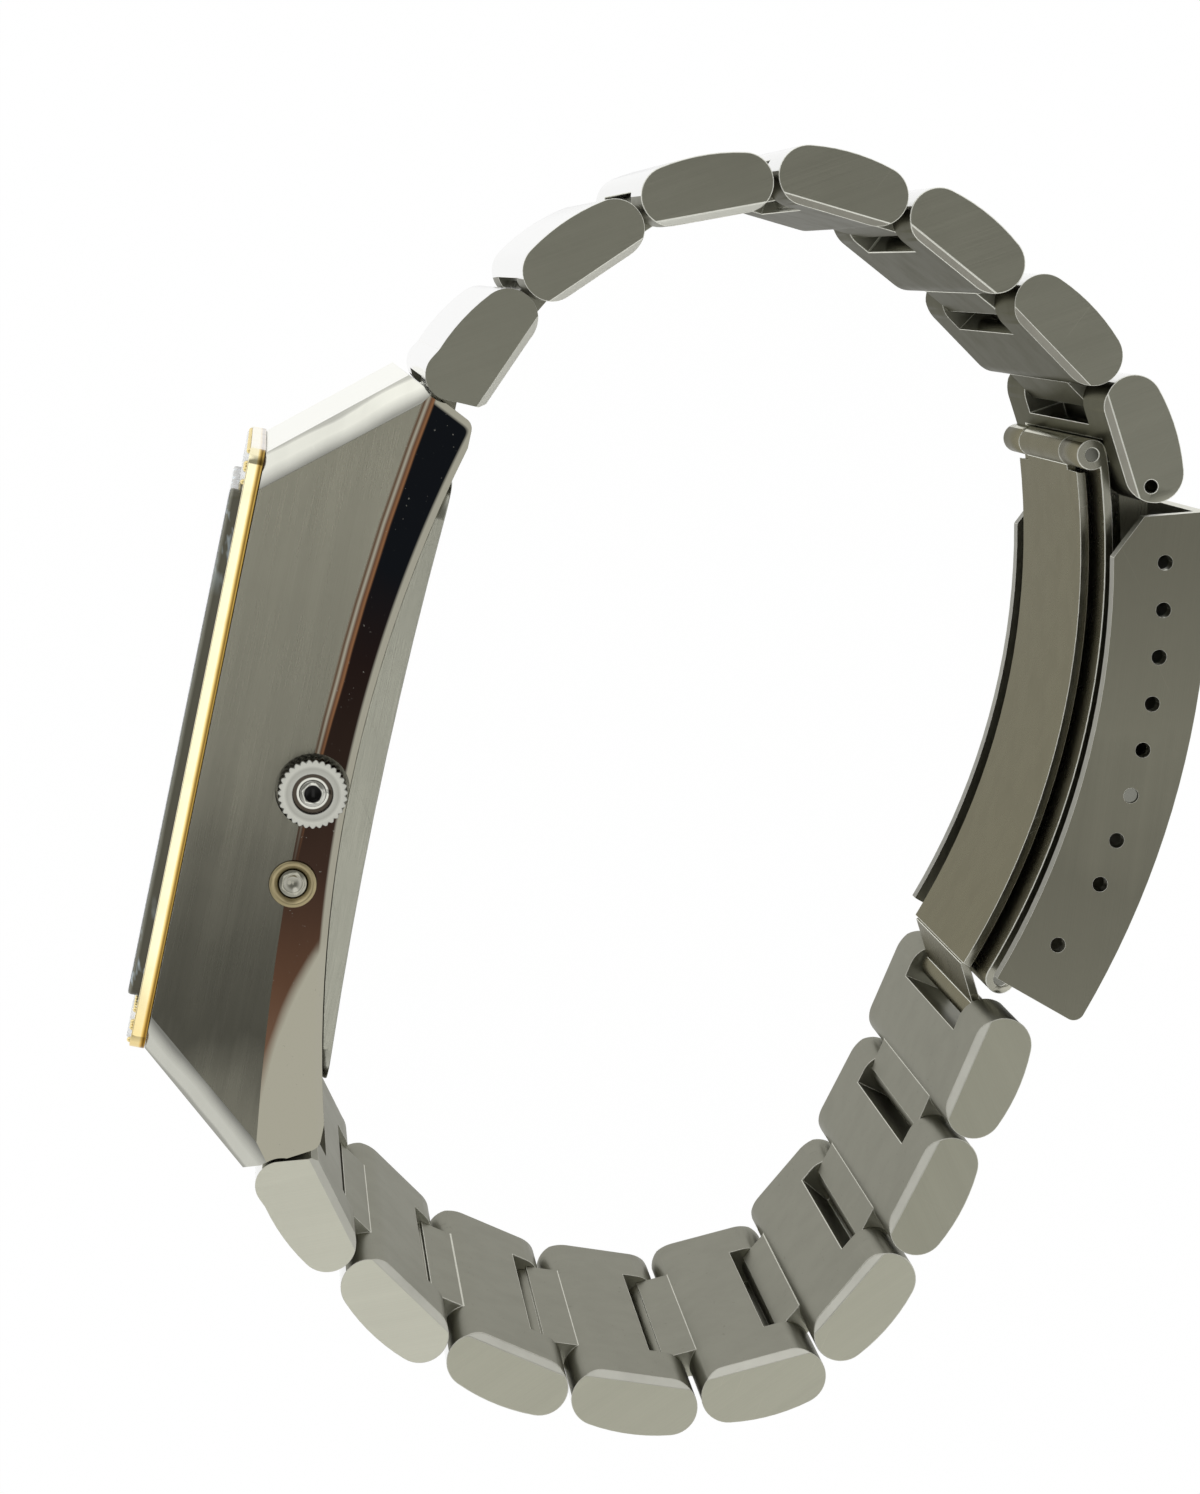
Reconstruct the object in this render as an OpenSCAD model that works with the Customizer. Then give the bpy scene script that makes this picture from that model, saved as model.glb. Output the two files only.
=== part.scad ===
// Rectangular quartz wristwatch on a solid-link steel bracelet with a
// tri-fold clasp, closed around an oval wrist.
//
// Units are millimetres. The watch lies on its 9 o'clock side, so the crown
// and every bracelet hinge point up (+Z). +Y runs up the closed loop and +X
// from the dial towards the clasp.
//
// Frames used below:
//   case frame    x = u towards 12 o'clock, y = n outwards through the crystal
//   link frame    origin on the hinge, x along the link, y away from the wrist
//   clasp frame   origin on the centre of the cover's arc, angle 0 through
//                 the last link's hinge and negative angles down the cover

/* [Case] */
// Length of the case between its two shoulder tips
case_len = 41.5; // [39:0.25:45]
// Width of the case between its brushed sides
case_w = 23; // [21.5:0.25:27]
// Height of the case top above the crown axis
case_top = 5.65; // [5.2:0.05:6.4]
// Depth of the case ends below the crown axis
case_end_depth = 4.15; // [3.9:0.05:4.6]
// Depth of the case back's joint line below the crown axis at mid length
back_line = 1.85; // [1.6:0.05:2.1]
// Radius of the wrist curve under the case
wrist_curve_r = 70; // [60:1:110]
// Width of the soft bevel along the sloped ends
slope_bevel = 1.5; // [0.8:0.1:2]
// Depth to which the polished lower bevel draws the case in
lower_bevel = 1.2; // [0.8:0.05:1.5]
// Tilt of the watch head on the oval
case_tilt = 78.5; // [74:0.5:82]
// Thickness of the case back at its middle
back_t = 1.55; // [1.3:0.05:1.8]
// Thickness of the case back at its two ends
back_edge = 0.25; // [0.15:0.05:0.4]

/* [Bezel and crystal] */
// Length of the bezel
bezel_len = 31.2; // [29:0.2:32.5]
// Height of the bezel's band
bezel_h = 0.8; // [0.6:0.05:1]
// Step from the case side in to the bezel's side
bezel_step = 0.3; // [0.1:0.05:0.6]
// Length of the crystal
crystal_len = 26.6; // [24:0.2:27]
// Width of the bezel's rail beside the crystal
bezel_rail = 1.8; // [1.3:0.1:2.6]
// Thickness of the crystal
crystal_t = 1.15; // [1:0.05:1.4]
// Width of the gasket around the crystal
gasket_w = 0.25; // [0.15:0.05:0.4]
// Diameter of one set stone
stone_d = 0.9; // [0.6:0.05:1]
// Stones in each row across an end of the bezel
stones_per_row = 16; // [8:1:18]

/* [Dial and hands] */
// Margin between the dial's edge and the crystal's edge
dial_margin = 0.5; // [0.3:0.1:1]
// Thickness of the dial
dial_t = 0.4; // [0.3:0.05:0.6]
// Length of the minute hand from its pivot
minute_len = 7.4; // [6:0.1:7.8]
// Length of the hour hand from its pivot
hour_len = 5; // [4:0.1:6.4]
// Thickness of a hand
hand_t = 0.15; // [0.1:0.01:0.2]

/* [Movement] */
// Length of the movement cavity along the case
cavity_len = 26; // [25:0.2:27]
// Width of the movement cavity across the case
cavity_w = 17; // [16.4:0.1:17.4]
// Thickness of the movement's main plate
plate_t = 1.2; // [0.9:0.1:1.5]
// Radius of the battery
battery_r = 3.4; // [2.9:0.1:3.6]
// Thickness of the battery
battery_t = 2.1; // [1.6:0.1:2.3]

/* [Crown and corrector] */
// Radius of the crown over its knurling
crown_r = 1.75; // [1.5:0.05:2]
// Height of the crown
crown_h = 1.9; // [1.6:0.05:2.4]
// Teeth around the crown
crown_teeth = 31; // [20:1:36]
// Depth of the crown's counterbore in the case
crown_seat = 0.7; // [0.5:0.05:1]
// Offset of the crown towards 6 o'clock from the case's middle
crown_off = 0.65; // [0:0.05:1.2]
// Travel of the crown when it is pulled to set the time
crown_pull = 0.8; // [0.5:0.05:1]
// Radius of the winding stem
stem_r = 0.45; // [0.35:0.05:0.55]
// Spacing from the crown to the corrector
corrector_gap = 4.9; // [4.4:0.1:5.6]
// Radius of the corrector's sleeve
sleeve_r = 1.2; // [1.05:0.05:1.4]
// Radius of the corrector's button
button_r = 0.7; // [0.55:0.05:0.8]
// Travel of the corrector's button
button_travel = 0.5; // [0.3:0.05:0.7]

/* [Bracelet] */
// Length of a link's side face
link_len = 6.75; // [6.4:0.05:7.2]
// Step from the case side in to the bracelet's side
link_step = 0.3; // [0.15:0.05:0.6]
// Radius of the rounded ends of a link
end_r = 1.5; // [1.4:0.05:1.6]
// Swell of a link's outer face above its rounded ends
link_swell = 0.2; // [0.12:0.02:0.3]
// Gap between the side faces of straightened links
link_gap = 0.15; // [0.1:0.01:0.25]
// Distance of a hinge pin from the end of its link
hinge_in = 1.1; // [1:0.05:1.3]
// Distance of a hinge pin below the middle of the link
hinge_drop = 0.3; // [0.2:0.05:0.4]
// Radius of the knuckle around a hinge pin
knuckle_r = 0.7; // [0.62:0.02:0.76]
// Radius of a hinge pin
pin_r = 0.35; // [0.28:0.01:0.4]
// Width of the tongue that enters the next link
tongue_w = 13; // [10:0.5:14]
// Width of the polished bevel along a link's inner edge
inner_bevel = 0.35; // [0.2:0.05:0.45]
// Free slot between a tongue and the end of its pocket
pocket_slot = 0.5; // [0.3:0.05:0.7]
// Length of a first link from the case hinge to its far rounding
first_reach = 4; // [3.8:0.05:4.4]
// Radius of the rounded corner of a first link about the case hinge
first_r = 1.25; // [1.1:0.05:1.4]
// Angle between a first link's flat end and a square end
flat_skew = 28; // [24:1:32]

/* [Bracelet pose] */
// Bend of the links after the case on the 12 o'clock side
bend_12 = [29, 15, 23.5, 26, 22, 7, 26.5]; // [0:0.5:45]
// Bend of the clasp after the last link on the 12 o'clock side
bend_clasp = 12.5; // [10:0.5:18]
// Bend of the second to fourth links on the 6 o'clock side
bend_6_near = [12, 21, 15]; // [0:0.5:45]
// Bend of the sixth to eighth links on the 6 o'clock side
bend_6_far = [36, 13.5, 4]; // [0:0.5:45]

/* [Clasp] */
// Radius of the arc on which the adjusting holes lie
clasp_r = 44; // [40:0.5:50]
// Depth of the cover's side walls outside the hole row
wall_out = 2.35; // [2.1:0.05:2.6]
// Depth of the cover's side walls inside the hole row
wall_in = 2.7; // [2.5:0.05:2.8]
// Thickness of the cover's outer plate
cover_t = 0.6; // [0.4:0.05:0.9]
// Thickness of the cover's side walls
cover_wall = 0.8; // [0.6:0.05:1.1]
// Angle that the cover spans along its arc
cover_span = 34.6; // [33:0.2:36]
// Diameter of an adjusting hole
adjust_d = 0.8; // [0.7:0.05:0.9]
// Spacing of the adjusting holes
adjust_pitch = 2.45; // [2.2:0.05:2.6]
// Adjusting holes in a side of the cover
adjust_count = 8; // [6:1:8]
// Number of the adjusting hole that holds the spring bar
adjust_used = 6; // [4:1:6]
// Thickness of a folding blade
blade_t = 0.45; // [0.35:0.05:0.5]
// Radius of the curled ends of the folding blades
curl_r = 0.8; // [0.7:0.05:0.85]
// Width of the outer folding blade
blade_w = 17; // [14:0.5:18]
// Gap between the two folded blades
blade_gap = 0.33; // [0.25:0.01:0.45]

/* [Fits] */
// Clearance beside a tongue, a knuckle and a blade
side_fit = 0.1; // [0.06:0.01:0.15]
// Radial clearance of a turning pin in its bore
pin_fit = 0.03; // [0.02:0.01:0.06]
// Clearance between pieces that are only placed together
seat_fit = 0.02; // [0.01:0.005:0.04]
// Height of the crown and button mechanisms' running clearance
run_fit = 0.05; // [0.03:0.01:0.08]

/* [Hidden] */
$fn = 64;

STEEL = [0.66, 0.66, 0.60];
STEEL_DARK = [0.47, 0.47, 0.42];
POLISHED = [0.80, 0.80, 0.78];
GOLD = [0.93, 0.76, 0.36];
BRASS = [0.70, 0.60, 0.38];
GLASS = [0.70, 0.78, 0.80, 0.5];
RUBBER = [0.12, 0.12, 0.12];

// Plane geometry
function turn(a, v) = [v.x * cos(a) - v.y * sin(a), v.x * sin(a) + v.y * cos(a)];
function polar(r, a) = r * [cos(a), sin(a)];
function heading(v) = atan2(v.y, v.x);

// Link profile
link_w = case_w - 2 * link_step;
link_t = 2 * end_r + link_swell;
face_c = link_len - 2 * end_r;              // between the end rounding centres
pitch = link_len + link_gap;                // from hinge to hinge
face_in = end_r - hinge_in;                 // hinge to the near rounding centre
swell_drop = (pow(face_c / 2, 2) - pow(link_swell, 2)) / (2 * link_swell);
swell_r = swell_drop + end_r + link_swell;
first_brow = 0.4;                           // first link's swell above its hinge corner
first_rise = first_r + link_swell + first_brow - end_r;  // case hinge above the face's middle
first_next = first_reach + end_r + link_gap + hinge_in;
first_pocket = first_reach + end_r - hinge_in;
end_hole_in = 0.95;                         // clasp pin to the last link's end
end_hole_drop = 0.4;                        // clasp pin below the link's middle
end_hole = [face_in + face_c + end_r - end_hole_in, hinge_drop - end_hole_drop];
neck_out = 0.5;                             // tongue's outer face above the hinge
neck_in = 0.9;                              // tongue's inner face below the hinge
pocket_end = knuckle_r + pocket_slot;
pocket_top = knuckle_r + side_fit;
pin_blind = 1.2;                            // metal left over a pin's blind end

// Case profile
tip_u = case_len / 2;
tip_n = -0.5;
end_lean = 1.7;                             // case end leans in towards the wrist
end_u = tip_u - end_lean;
hinge_beyond = 0.45;
hinge_u = tip_u + hinge_beyond;
hinge_n = -2.5;
crevice = 0.18;                             // gap around a first link's rounded corner
hinge_clear = first_r + crevice;
bezel_u = bezel_len / 2;
bezel_over = 0.1;                           // bezel's end beyond the case top
top_n = case_top;
crown_u = -crown_off;
corrector_u = crown_u - corrector_gap;

// Stack of the head, from the crystal down
bezel_top = case_top + bezel_h;
crystal_low = case_top + gasket_w;
crystal_top = crystal_low + crystal_t;
crystal_w = case_w - 2 * bezel_step - 2 * bezel_rail;
dial_len = crystal_len - 2 * dial_margin;
dial_seat = 0.6;                            // dial's overhang on the movement holder
dial_w = min(crystal_w, cavity_w + 2 * dial_seat) - 2 * dial_margin;
dial_sink = 1.35;                           // dial below the case top
dial_top = case_top - dial_sink;
plate_top = dial_top - dial_t - seat_fit;
plate_low = plate_top - plate_t;
back_low = back_line + back_t;              // depth of the wrist face
lip_h = 0.9;
lid_in = back_line - lip_h;                 // top of the case back's inner lip
board_t = 0.5;
pivot_u = 0;

// Chain of hinges, case to clasp on the 12 o'clock side
hinge12 = turn(case_tilt, [hinge_u, hinge_n]);
hinge6 = turn(case_tilt, [-hinge_u, hinge_n]);
function sum_to(v, i) = i < 0 ? 0 : v[i] + sum_to(v, i - 1);
function aim12(i) = case_tilt - sum_to(bend_12, i - 1);
function step12(i) = i == 1 ? [first_next, -first_rise - hinge_drop]
                   : i < 7 ? [pitch, 0] : end_hole;
function at12(i) = i == 1 ? hinge12 : at12(i - 1) + turn(aim12(i - 1), step12(i - 1));
clasp_at = at12(8);

// Clasp, hung on the last link's pin
aim_clasp = aim12(7) - bend_clasp + 90;
pin_in = 0.6;                               // last link's pin inside the hole row
clasp_o = clasp_at - polar(clasp_r - pin_in, aim_clasp);
deg = 180 / (PI * clasp_r);                 // angle of 1 mm along the hole row
cover_in_r = clasp_r - wall_in;
cover_out_r = clasp_r + wall_out;
cover_top_a = -2;
cover_low_a = cover_top_a - cover_span;
first_hole = 2.45;                          // from the cover's upper edge to its first hole
hole_a1 = cover_top_a - first_hole * deg;
bar_a = hole_a1 - (adjust_used - 1) * adjust_pitch * deg;
blade_inset = 0.23;
blade1_r = cover_in_r + blade_inset;        // inner face of the outer blade
blade2_r = blade1_r - blade_gap - blade_t;
low_hinge_r = blade1_r + curl_r;
low_hinge_a = cover_low_a - 0.2;            // lower fold, just past the cover's end
top_hinge_r = blade1_r + blade_t - curl_r;
top_hinge_a = 2.4;
tail_out = 0.9;
tail_r = low_hinge_r + tail_out;
tail_a = low_hinge_a - 3.2;
tail_curl = 0.7;
function clasp_xy(r, a) = clasp_o + polar(r, aim_clasp + a);
tail_at = clasp_xy(tail_r, tail_a);

// The 6 o'clock side closes the loop: two rigid halves of its chain meet
// where the circles about the case hinge and the clasp's tail cross
function far(v, i, a) = i < 0 ? [0, 0] : far(v, i - 1, a) + polar(pitch, sum_to(v, i) + a);
half_a = [first_pocket, first_rise + hinge_drop] + far(bend_6_near, 2, 0);
half_b = [pitch, 0] + far(bend_6_far, 2, 0);
span6 = tail_at - hinge6;
open_a = acos((pow(norm(half_a), 2) + pow(norm(span6), 2) - pow(norm(half_b), 2))
              / (2 * norm(half_a) * norm(span6)));
aim6_1 = heading(span6) - open_a - heading(half_a);
mid6 = hinge6 + turn(aim6_1, half_a);
aim6_5 = heading(tail_at - mid6) - heading(half_b);
function aim6(i) = i == 1 ? aim6_1
                 : i < 5 ? aim6_1 + sum_to(bend_6_near, i - 2)
                 : i == 5 ? aim6_5 : aim6_5 + sum_to(bend_6_far, i - 6);
function step6(i) = i == 1 ? [first_pocket, first_rise + hinge_drop] : [pitch, 0];
function at6(i) = i == 0 ? hinge6 : at6(i - 1) + turn(aim6(i), step6(i));

// Box of the closed loop, which sets the part's origin under its middle
loop_left = min(turn(case_tilt, [-crystal_len / 2, crystal_top]).x,
                turn(case_tilt, [-bezel_u, bezel_top]).x);
loop_right = clasp_o.x + cover_out_r;
loop_high = max([for (i = [2:6]) at12(i).y + turn(aim12(i),
    [face_in + face_c / 2, hinge_drop + link_t - end_r]).y]);
loop_low = min([for (i = [2:7]) at6(i).y + turn(aim6(i) + 180,
    [face_in + face_c / 2, hinge_drop + link_t - end_r]).y]);
shift = [-(loop_left + loop_right) / 2, -(loop_high + loop_low) / 2, case_w / 2];

echo(case_at = [shift.x, shift.y], tilt = case_tilt, mid_z = shift.z, crown_u = crown_u,
     crown_pull = crown_pull, button_travel = button_travel, spring_low = spring_low);
echo(hinges12 = [for (i = [1:8]) at12(i) + [shift.x, shift.y]], aims12 = [for (i = [1:7]) aim12(i)]);
echo(hinges6 = [for (i = [0:8]) at6(i) + [shift.x, shift.y]], aims6 = [for (i = [1:8]) aim6(i)]);
echo(clasp_centre = clasp_o + [shift.x, shift.y], clasp_aim = aim_clasp,
     low_hinge = clasp_xy(low_hinge_r, low_hinge_a) + [shift.x, shift.y],
     top_hinge = clasp_xy(top_hinge_r, top_hinge_a) + [shift.x, shift.y],
     spare_hole = clasp_xy(clasp_r, hole_a1 - 6 * adjust_pitch * deg) + [shift.x, shift.y]);
echo(box = [loop_left, loop_right, loop_low, loop_high]);

// Placing
module in_loop(at, aim) translate([at.x, at.y, 0] + shift) rotate([0, 0, aim]) children();
module in_case() in_loop([0, 0], case_tilt) children();
module in_clasp() in_loop(clasp_o, aim_clasp) children();
module through(w) linear_extrude(w, center = true) children();
module at_hinge(r, a) translate(polar(r, a)) children();

// Case frame helper: a box given by its limits in u, n and half its width
module block(u0, u1, n0, n1, w) translate([u0, n0, -w / 2]) cube([u1 - u0, n1 - n0, w]);

module rounded_bar(len, w, h, r) {
    for (x = [-1, 1], y = [-1, 1])
        translate([x * (len / 2 - r), y * (w / 2 - r), 0]) cylinder(r = r, h = h);
    translate([-len / 2, -w / 2 + r, 0]) cube([len, w - 2 * r, h]);
    translate([-len / 2 + r, -w / 2, 0]) cube([len - 2 * r, w, h]);
}

// A plate in the case frame: length along u, width along z, from n0 up to n1
module plate(len, w, n0, n1, r) translate([0, n0, 0]) rotate([-90, 0, 0]) rounded_bar(len, w, n1 - n0, r);

heel_r = 0.6;                               // rounding of the case end's corner at the wrist
heel_run = heel_r * tan((90 - atan(end_lean / (case_end_depth + tip_n))) / 2);
heel_up = heel_run * turn(-atan(end_lean / (case_end_depth + tip_n)), [0, 1]);

module case_outline() {
    difference() {
        union() {
            polygon([[-bezel_u + bezel_over, top_n], [-tip_u, tip_n],
                     [-end_u - heel_up.x, -case_end_depth + heel_up.y], [-end_u + heel_run, -case_end_depth],
                     [end_u - heel_run, -case_end_depth], [end_u + heel_up.x, -case_end_depth + heel_up.y],
                     [tip_u, tip_n], [bezel_u - bezel_over, top_n]]);
            for (s = [-1, 1]) translate([s * (end_u - heel_run), -case_end_depth + heel_r]) circle(heel_r);
        }
        translate([0, -back_line - wrist_curve_r]) circle(wrist_curve_r, $fn = 720);
        for (s = [-1, 1]) translate([s * hinge_u, hinge_n]) circle(hinge_clear);
    }
}

module slope_bevel_cuts() {
    // Soft bevels along both sloped ends, on both sides of the case
    run = [tip_u - bezel_u, tip_n - top_n];
    for (m = [0, 1], k = [0, 1]) mirror([m, 0, 0]) mirror([0, 0, k])
        translate([bezel_u, top_n, case_w / 2]) rotate([0, 0, heading(run)])
            translate([0, -slope_bevel, 0]) rotate([-28, 0, 0])
                translate([-slope_bevel * 3, -slope_bevel, 0]) cube([norm(run) + slope_bevel * 6, 5 * slope_bevel, 3 * slope_bevel]);
}

bevel_n = 0.33;                             // highest point of the lower bevel's upper edge
bevel_u = -1.5;                             // where along the case that point lies
drum = 500;                                 // radius of the bow

module lower_bevel_cut() {
    // Large drum that leaves the polished lower bevel with its bowed edge
    lean = atan(lower_bevel / (case_end_depth + bevel_n));
    for (z = [-1, 1])
        translate([bevel_u, bevel_n, z * case_w / 2]) rotate([z * lean, 0, 0])
            translate([0, -5, z * drum]) rotate([90, 0, 0])
                cylinder(r = drum, h = 11, center = true, $fn = 1440);
}

case_neck = 2;

module case_tongue(s) {
    translate([s * hinge_u, hinge_n]) {
        circle(knuckle_r);
        translate([s > 0 ? -case_neck : 0, -neck_in]) square([case_neck, neck_in + neck_out]);
    }
}

module case_middle() color(STEEL_DARK) in_case() difference() {
    union() {
        difference() {
            through(case_w) case_outline();
            slope_bevel_cuts();
            lower_bevel_cut();
        }
        for (s = [-1, 1]) through(tongue_w) case_tongue(s);
    }
    for (s = [-1, 1]) translate([s * hinge_u, hinge_n]) through(tongue_w + 1) circle(pin_r + pin_fit);
    // Movement cavity from the back, dial seat and opening from the top
    plate(cavity_len, cavity_w, -6, plate_top + seat_fit, 1.5);
    plate(dial_len + 2 * seat_fit, dial_w + 2 * seat_fit, plate_top - 0.1, top_n + 1, 1);
    // Crown and corrector bores
    translate([crown_u, 0, case_w / 2 - crown_seat]) cylinder(r = crown_r + crown_gap, h = 2 * crown_seat);
    translate([crown_u, 0, 0]) cylinder(r = tube_r + seat_fit, h = case_w);
    translate([corrector_u, 0, case_w / 2 - sleeve_deep]) cylinder(r = sleeve_r + seat_fit, h = 2 * sleeve_deep);
    translate([corrector_u, 0, 0]) cylinder(r = spring_r + 0.1, h = case_w);
}

crown_gap = 0.13;
tube_wall = 0.35;
tube_r = stem_r + tube_wall;
sleeve_deep = 1.3;
sleeve_proud = 0.15;
push_r = 0.3;
flange = 0.12;
spring_r = button_r + flange;

module bezel() color(GOLD) in_case() difference() {
    plate(bezel_len, case_w - 2 * bezel_step, top_n + seat_fit, bezel_top, 0.8);
    plate(crystal_len + 2 * gasket_w, crystal_w + 2 * gasket_w, top_n - 1, bezel_top + 1, 0.6);
    for (s = [-1, 1], row = [0, 1], i = [0:stones_per_row - 1])
        translate([s * stone_u(row), bezel_top - stone_deep, stone_z(i)])
            rotate([-90, 0, 0]) cylinder(r = stone_d / 2 + 0.03, h = 1, $fn = 8);
}

stone_deep = 0.22;
stone_band = (bezel_len - crystal_len) / 2 - gasket_w;
function stone_u(row) = crystal_len / 2 + gasket_w + stone_band * (0.27 + 0.46 * row);
function stone_z(i) = (i - (stones_per_row - 1) / 2) * (case_w - 2 * bezel_step - 1.6) / stones_per_row;

module stone() {
    cylinder(r = stone_d / 2, h = stone_deep, $fn = 8);
    translate([0, 0, stone_deep]) cylinder(r1 = stone_d / 2, r2 = stone_d / 4, h = 0.22, $fn = 8);
}

module bezel_stones() color([0.92, 0.94, 0.95]) in_case()
    for (s = [-1, 1], row = [0, 1], i = [0:stones_per_row - 1])
        translate([s * stone_u(row), bezel_top - stone_deep, stone_z(i)]) rotate([-90, 0, 0]) stone();

module crystal() color(GLASS) in_case() plate(crystal_len, crystal_w, crystal_low, crystal_top, 0.5);

module crystal_gasket() color(RUBBER) in_case() difference() {
    plate(crystal_len + 2 * gasket_w - seat_fit, crystal_w + 2 * gasket_w - seat_fit,
          top_n, bezel_top - 0.15, 0.6);
    plate(crystal_len + seat_fit, crystal_w + seat_fit, crystal_low, bezel_top + 1, 0.5);
    plate(dial_len, dial_w, top_n - 1, bezel_top, 1);
}

module dial() color([0.90, 0.90, 0.87]) in_case() difference() {
    union() {
        plate(dial_len, dial_w, dial_top - dial_t, dial_top, 1);
        // Applied bar markers, one for each hour
        for (i = [1:12]) {
            edge = min(dial_len / 2 / max(0.01, abs(cos(30 * i))), dial_w / 2 / max(0.01, abs(sin(30 * i))));
            translate([pivot_u, dial_top, 0]) rotate([0, -30 * i, 0])
                translate([edge - marker_len - 0.7, -0.1, -marker_w / 2]) cube([marker_len, 0.3, marker_w]);
        }
    }
    translate([pivot_u, dial_top, 0]) rotate([90, 0, 0]) cylinder(r = arbor_r + 0.35, h = 4, center = true);
}

marker_len = 1.6;
marker_w = 0.4;
arbor_r = 0.45;
hour_n = dial_top + 0.5;
minute_n = hour_n + hand_t + 0.2;

module hand(len, w, tail) rotate([-90, 0, 0]) {
    cylinder(r = 0.9, h = hand_t);
    linear_extrude(hand_t) polygon([[-tail, -w / 2], [0, -w], [len - w, -w / 2], [len, 0], [len - w, w / 2], [0, w], [-tail, w / 2]]);
}

module hour_hand() color(GOLD) in_case() difference() {
    union() {
        translate([pivot_u, hour_n, 0]) rotate([0, -60, 0]) hand(hour_len, 0.7, 1);
        // Pipe of the hour wheel
        translate([pivot_u, plate_top - 0.3, 0]) rotate([-90, 0, 0]) cylinder(r = arbor_r + 0.25, h = hour_n - plate_top + 0.3);
    }
    translate([pivot_u, 0, 0]) rotate([-90, 0, 0]) cylinder(r = arbor_r + pin_fit, h = 20);
}

module minute_hand() color(GOLD) in_case() {
    translate([pivot_u, minute_n, 0]) rotate([0, 54, 0]) hand(minute_len, 0.55, 1.4);
    // Cannon pinion below the hand
    translate([pivot_u, plate_low + 0.2, 0]) rotate([-90, 0, 0]) cylinder(r = arbor_r, h = minute_n + hand_t - plate_low + 0.1);
}

module movement_plate() color(BRASS) in_case() difference() {
    plate(cavity_len - 1.6, cavity_w - 1.6, plate_low, plate_top - 0.02, 1.2);
    translate([pivot_u, 0, 0]) rotate([-90, 0, 0]) cylinder(r = arbor_r + 0.25 + pin_fit, h = 20);
    block(crown_u - 1.6, crown_u + 1.6, plate_low - 1, plate_low + 0.45, 40);
}

module movement_holder() color([0.88, 0.88, 0.84]) in_case() difference() {
    plate(cavity_len - 2 * seat_fit, cavity_w - 2 * seat_fit, -lid_in + 0.05, plate_top, 1.5);
    plate(cavity_len - 1.6 + 2 * seat_fit, cavity_w - 1.6 + 2 * seat_fit, -10, plate_top + 1, 1.2);
    translate([crown_u, 0, 0]) cylinder(r = stem_r + 0.3, h = case_w);
    translate([corrector_u, 0, 0]) cylinder(r = push_r + 0.15, h = case_w);
}

module circuit_board() color([0.10, 0.35, 0.20]) in_case() difference() {
    plate(cavity_len - 1.8, cavity_w - 1.8, plate_low - board_t - 0.02, plate_low - 0.02, 1.1);
    block(crown_u - 1.7, crown_u + 1.7, -5, plate_low + 1, 40);
    translate([battery_u, 0, battery_z]) rotate([90, 0, 0]) cylinder(r = battery_r + 0.15, h = 20, center = true);
    translate([pivot_u, 0, 0]) rotate([90, 0, 0]) cylinder(r = 0.7, h = 20, center = true);
}

battery_u = crown_u + 1.9 + battery_r;
battery_z = -3;

module battery() color([0.75, 0.75, 0.72]) in_case()
    translate([battery_u, plate_low - 0.02, battery_z]) rotate([90, 0, 0]) {
        cylinder(r = battery_r, h = battery_t - 0.25);
        cylinder(r = battery_r - 0.6, h = battery_t);
    }

module coil() color([0.75, 0.40, 0.15]) in_case()
    translate([-8.2, plate_low - board_t - 0.04, 0]) {
        translate([0, -0.85, 0]) cylinder(r = 0.8, h = 8, center = true);
        for (z = [-1, 1]) translate([-1, -1.5, z * 4.6 - 0.6]) cube([2, 1.5, 1.2]);
    }

back_curve_r = 250;

module back_solid(len, w, r) intersection() {
    plate(len, w, -8, 2, r);
    through(w + 1) difference() {
        translate([-len, -8]) square([2 * len, 8]);
        translate([0, -back_low - back_curve_r]) circle(back_curve_r, $fn = 1440);
    }
}

module caseback() color(POLISHED) in_case() {
    back_l = 2 * sqrt(2 * (back_t - back_edge) / (1 / wrist_curve_r - 1 / back_curve_r));
    intersection() {
        back_solid(back_l, case_w - 2 * lower_bevel - 0.3, 2);
        through(case_w) translate([0, -back_line - wrist_curve_r]) circle(wrist_curve_r - seat_fit, $fn = 720);
    }
    difference() {
        plate(cavity_len - 2 * side_fit, cavity_w - 2 * side_fit, -back_low + 0.2, -lid_in, 1.4);
        plate(cavity_len - 1.8, cavity_w - 1.8, -back_line - 0.2, 2, 1);
        difference() {
            plate(cavity_len + 1, cavity_w + 1, -lid_in - gasket_w - 0.25, -lid_in - 0.25, 1.9);
            plate(cavity_len - 1.2, cavity_w - 1.2, -10, 2, 1.2);
        }
    }
}

module caseback_gasket() color(RUBBER) in_case() difference() {
    plate(cavity_len - 2 * seat_fit, cavity_w - 2 * seat_fit, -lid_in - gasket_w - 0.22, -lid_in - 0.28, 1.45);
    plate(cavity_len - 1.2, cavity_w - 1.2, -10, 2, 1.2);
}

// Crown, with its knurled rim and the plain sunk centre
crown_low = case_w / 2 - crown_seat + run_fit;

crown_dish = 0.35;                          // depth of the crown's sunk centre
dish_r = 0.58 * crown_r;
ring_r = 0.38 * crown_r;                    // plain raised ring in the sunk centre
ring_in = 0.22 * crown_r;
ring_h = 0.22;

module crown() color(POLISHED) in_case() translate([crown_u, 0, crown_low]) difference() {
    linear_extrude(crown_h) crown_teeth();
    translate([0, 0, crown_h - crown_dish]) difference() {
        cylinder(r = dish_r, h = 2);
        difference() {
            cylinder(r = ring_r, h = ring_h);
            translate([0, 0, -1]) cylinder(r = ring_in, h = 3);
        }
    }
    translate([0, 0, -1]) cylinder(r = stem_r + seat_fit, h = 1 + 0.6 * crown_h);
}

module crown_teeth() difference() {
    circle(crown_r);
    for (i = [0:crown_teeth - 1]) rotate(360 / crown_teeth * i)
        translate([crown_r + 0.02, 0]) circle(0.84 * PI * crown_r / crown_teeth, $fn = 4);
}

stem_low = 3.2;

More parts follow.
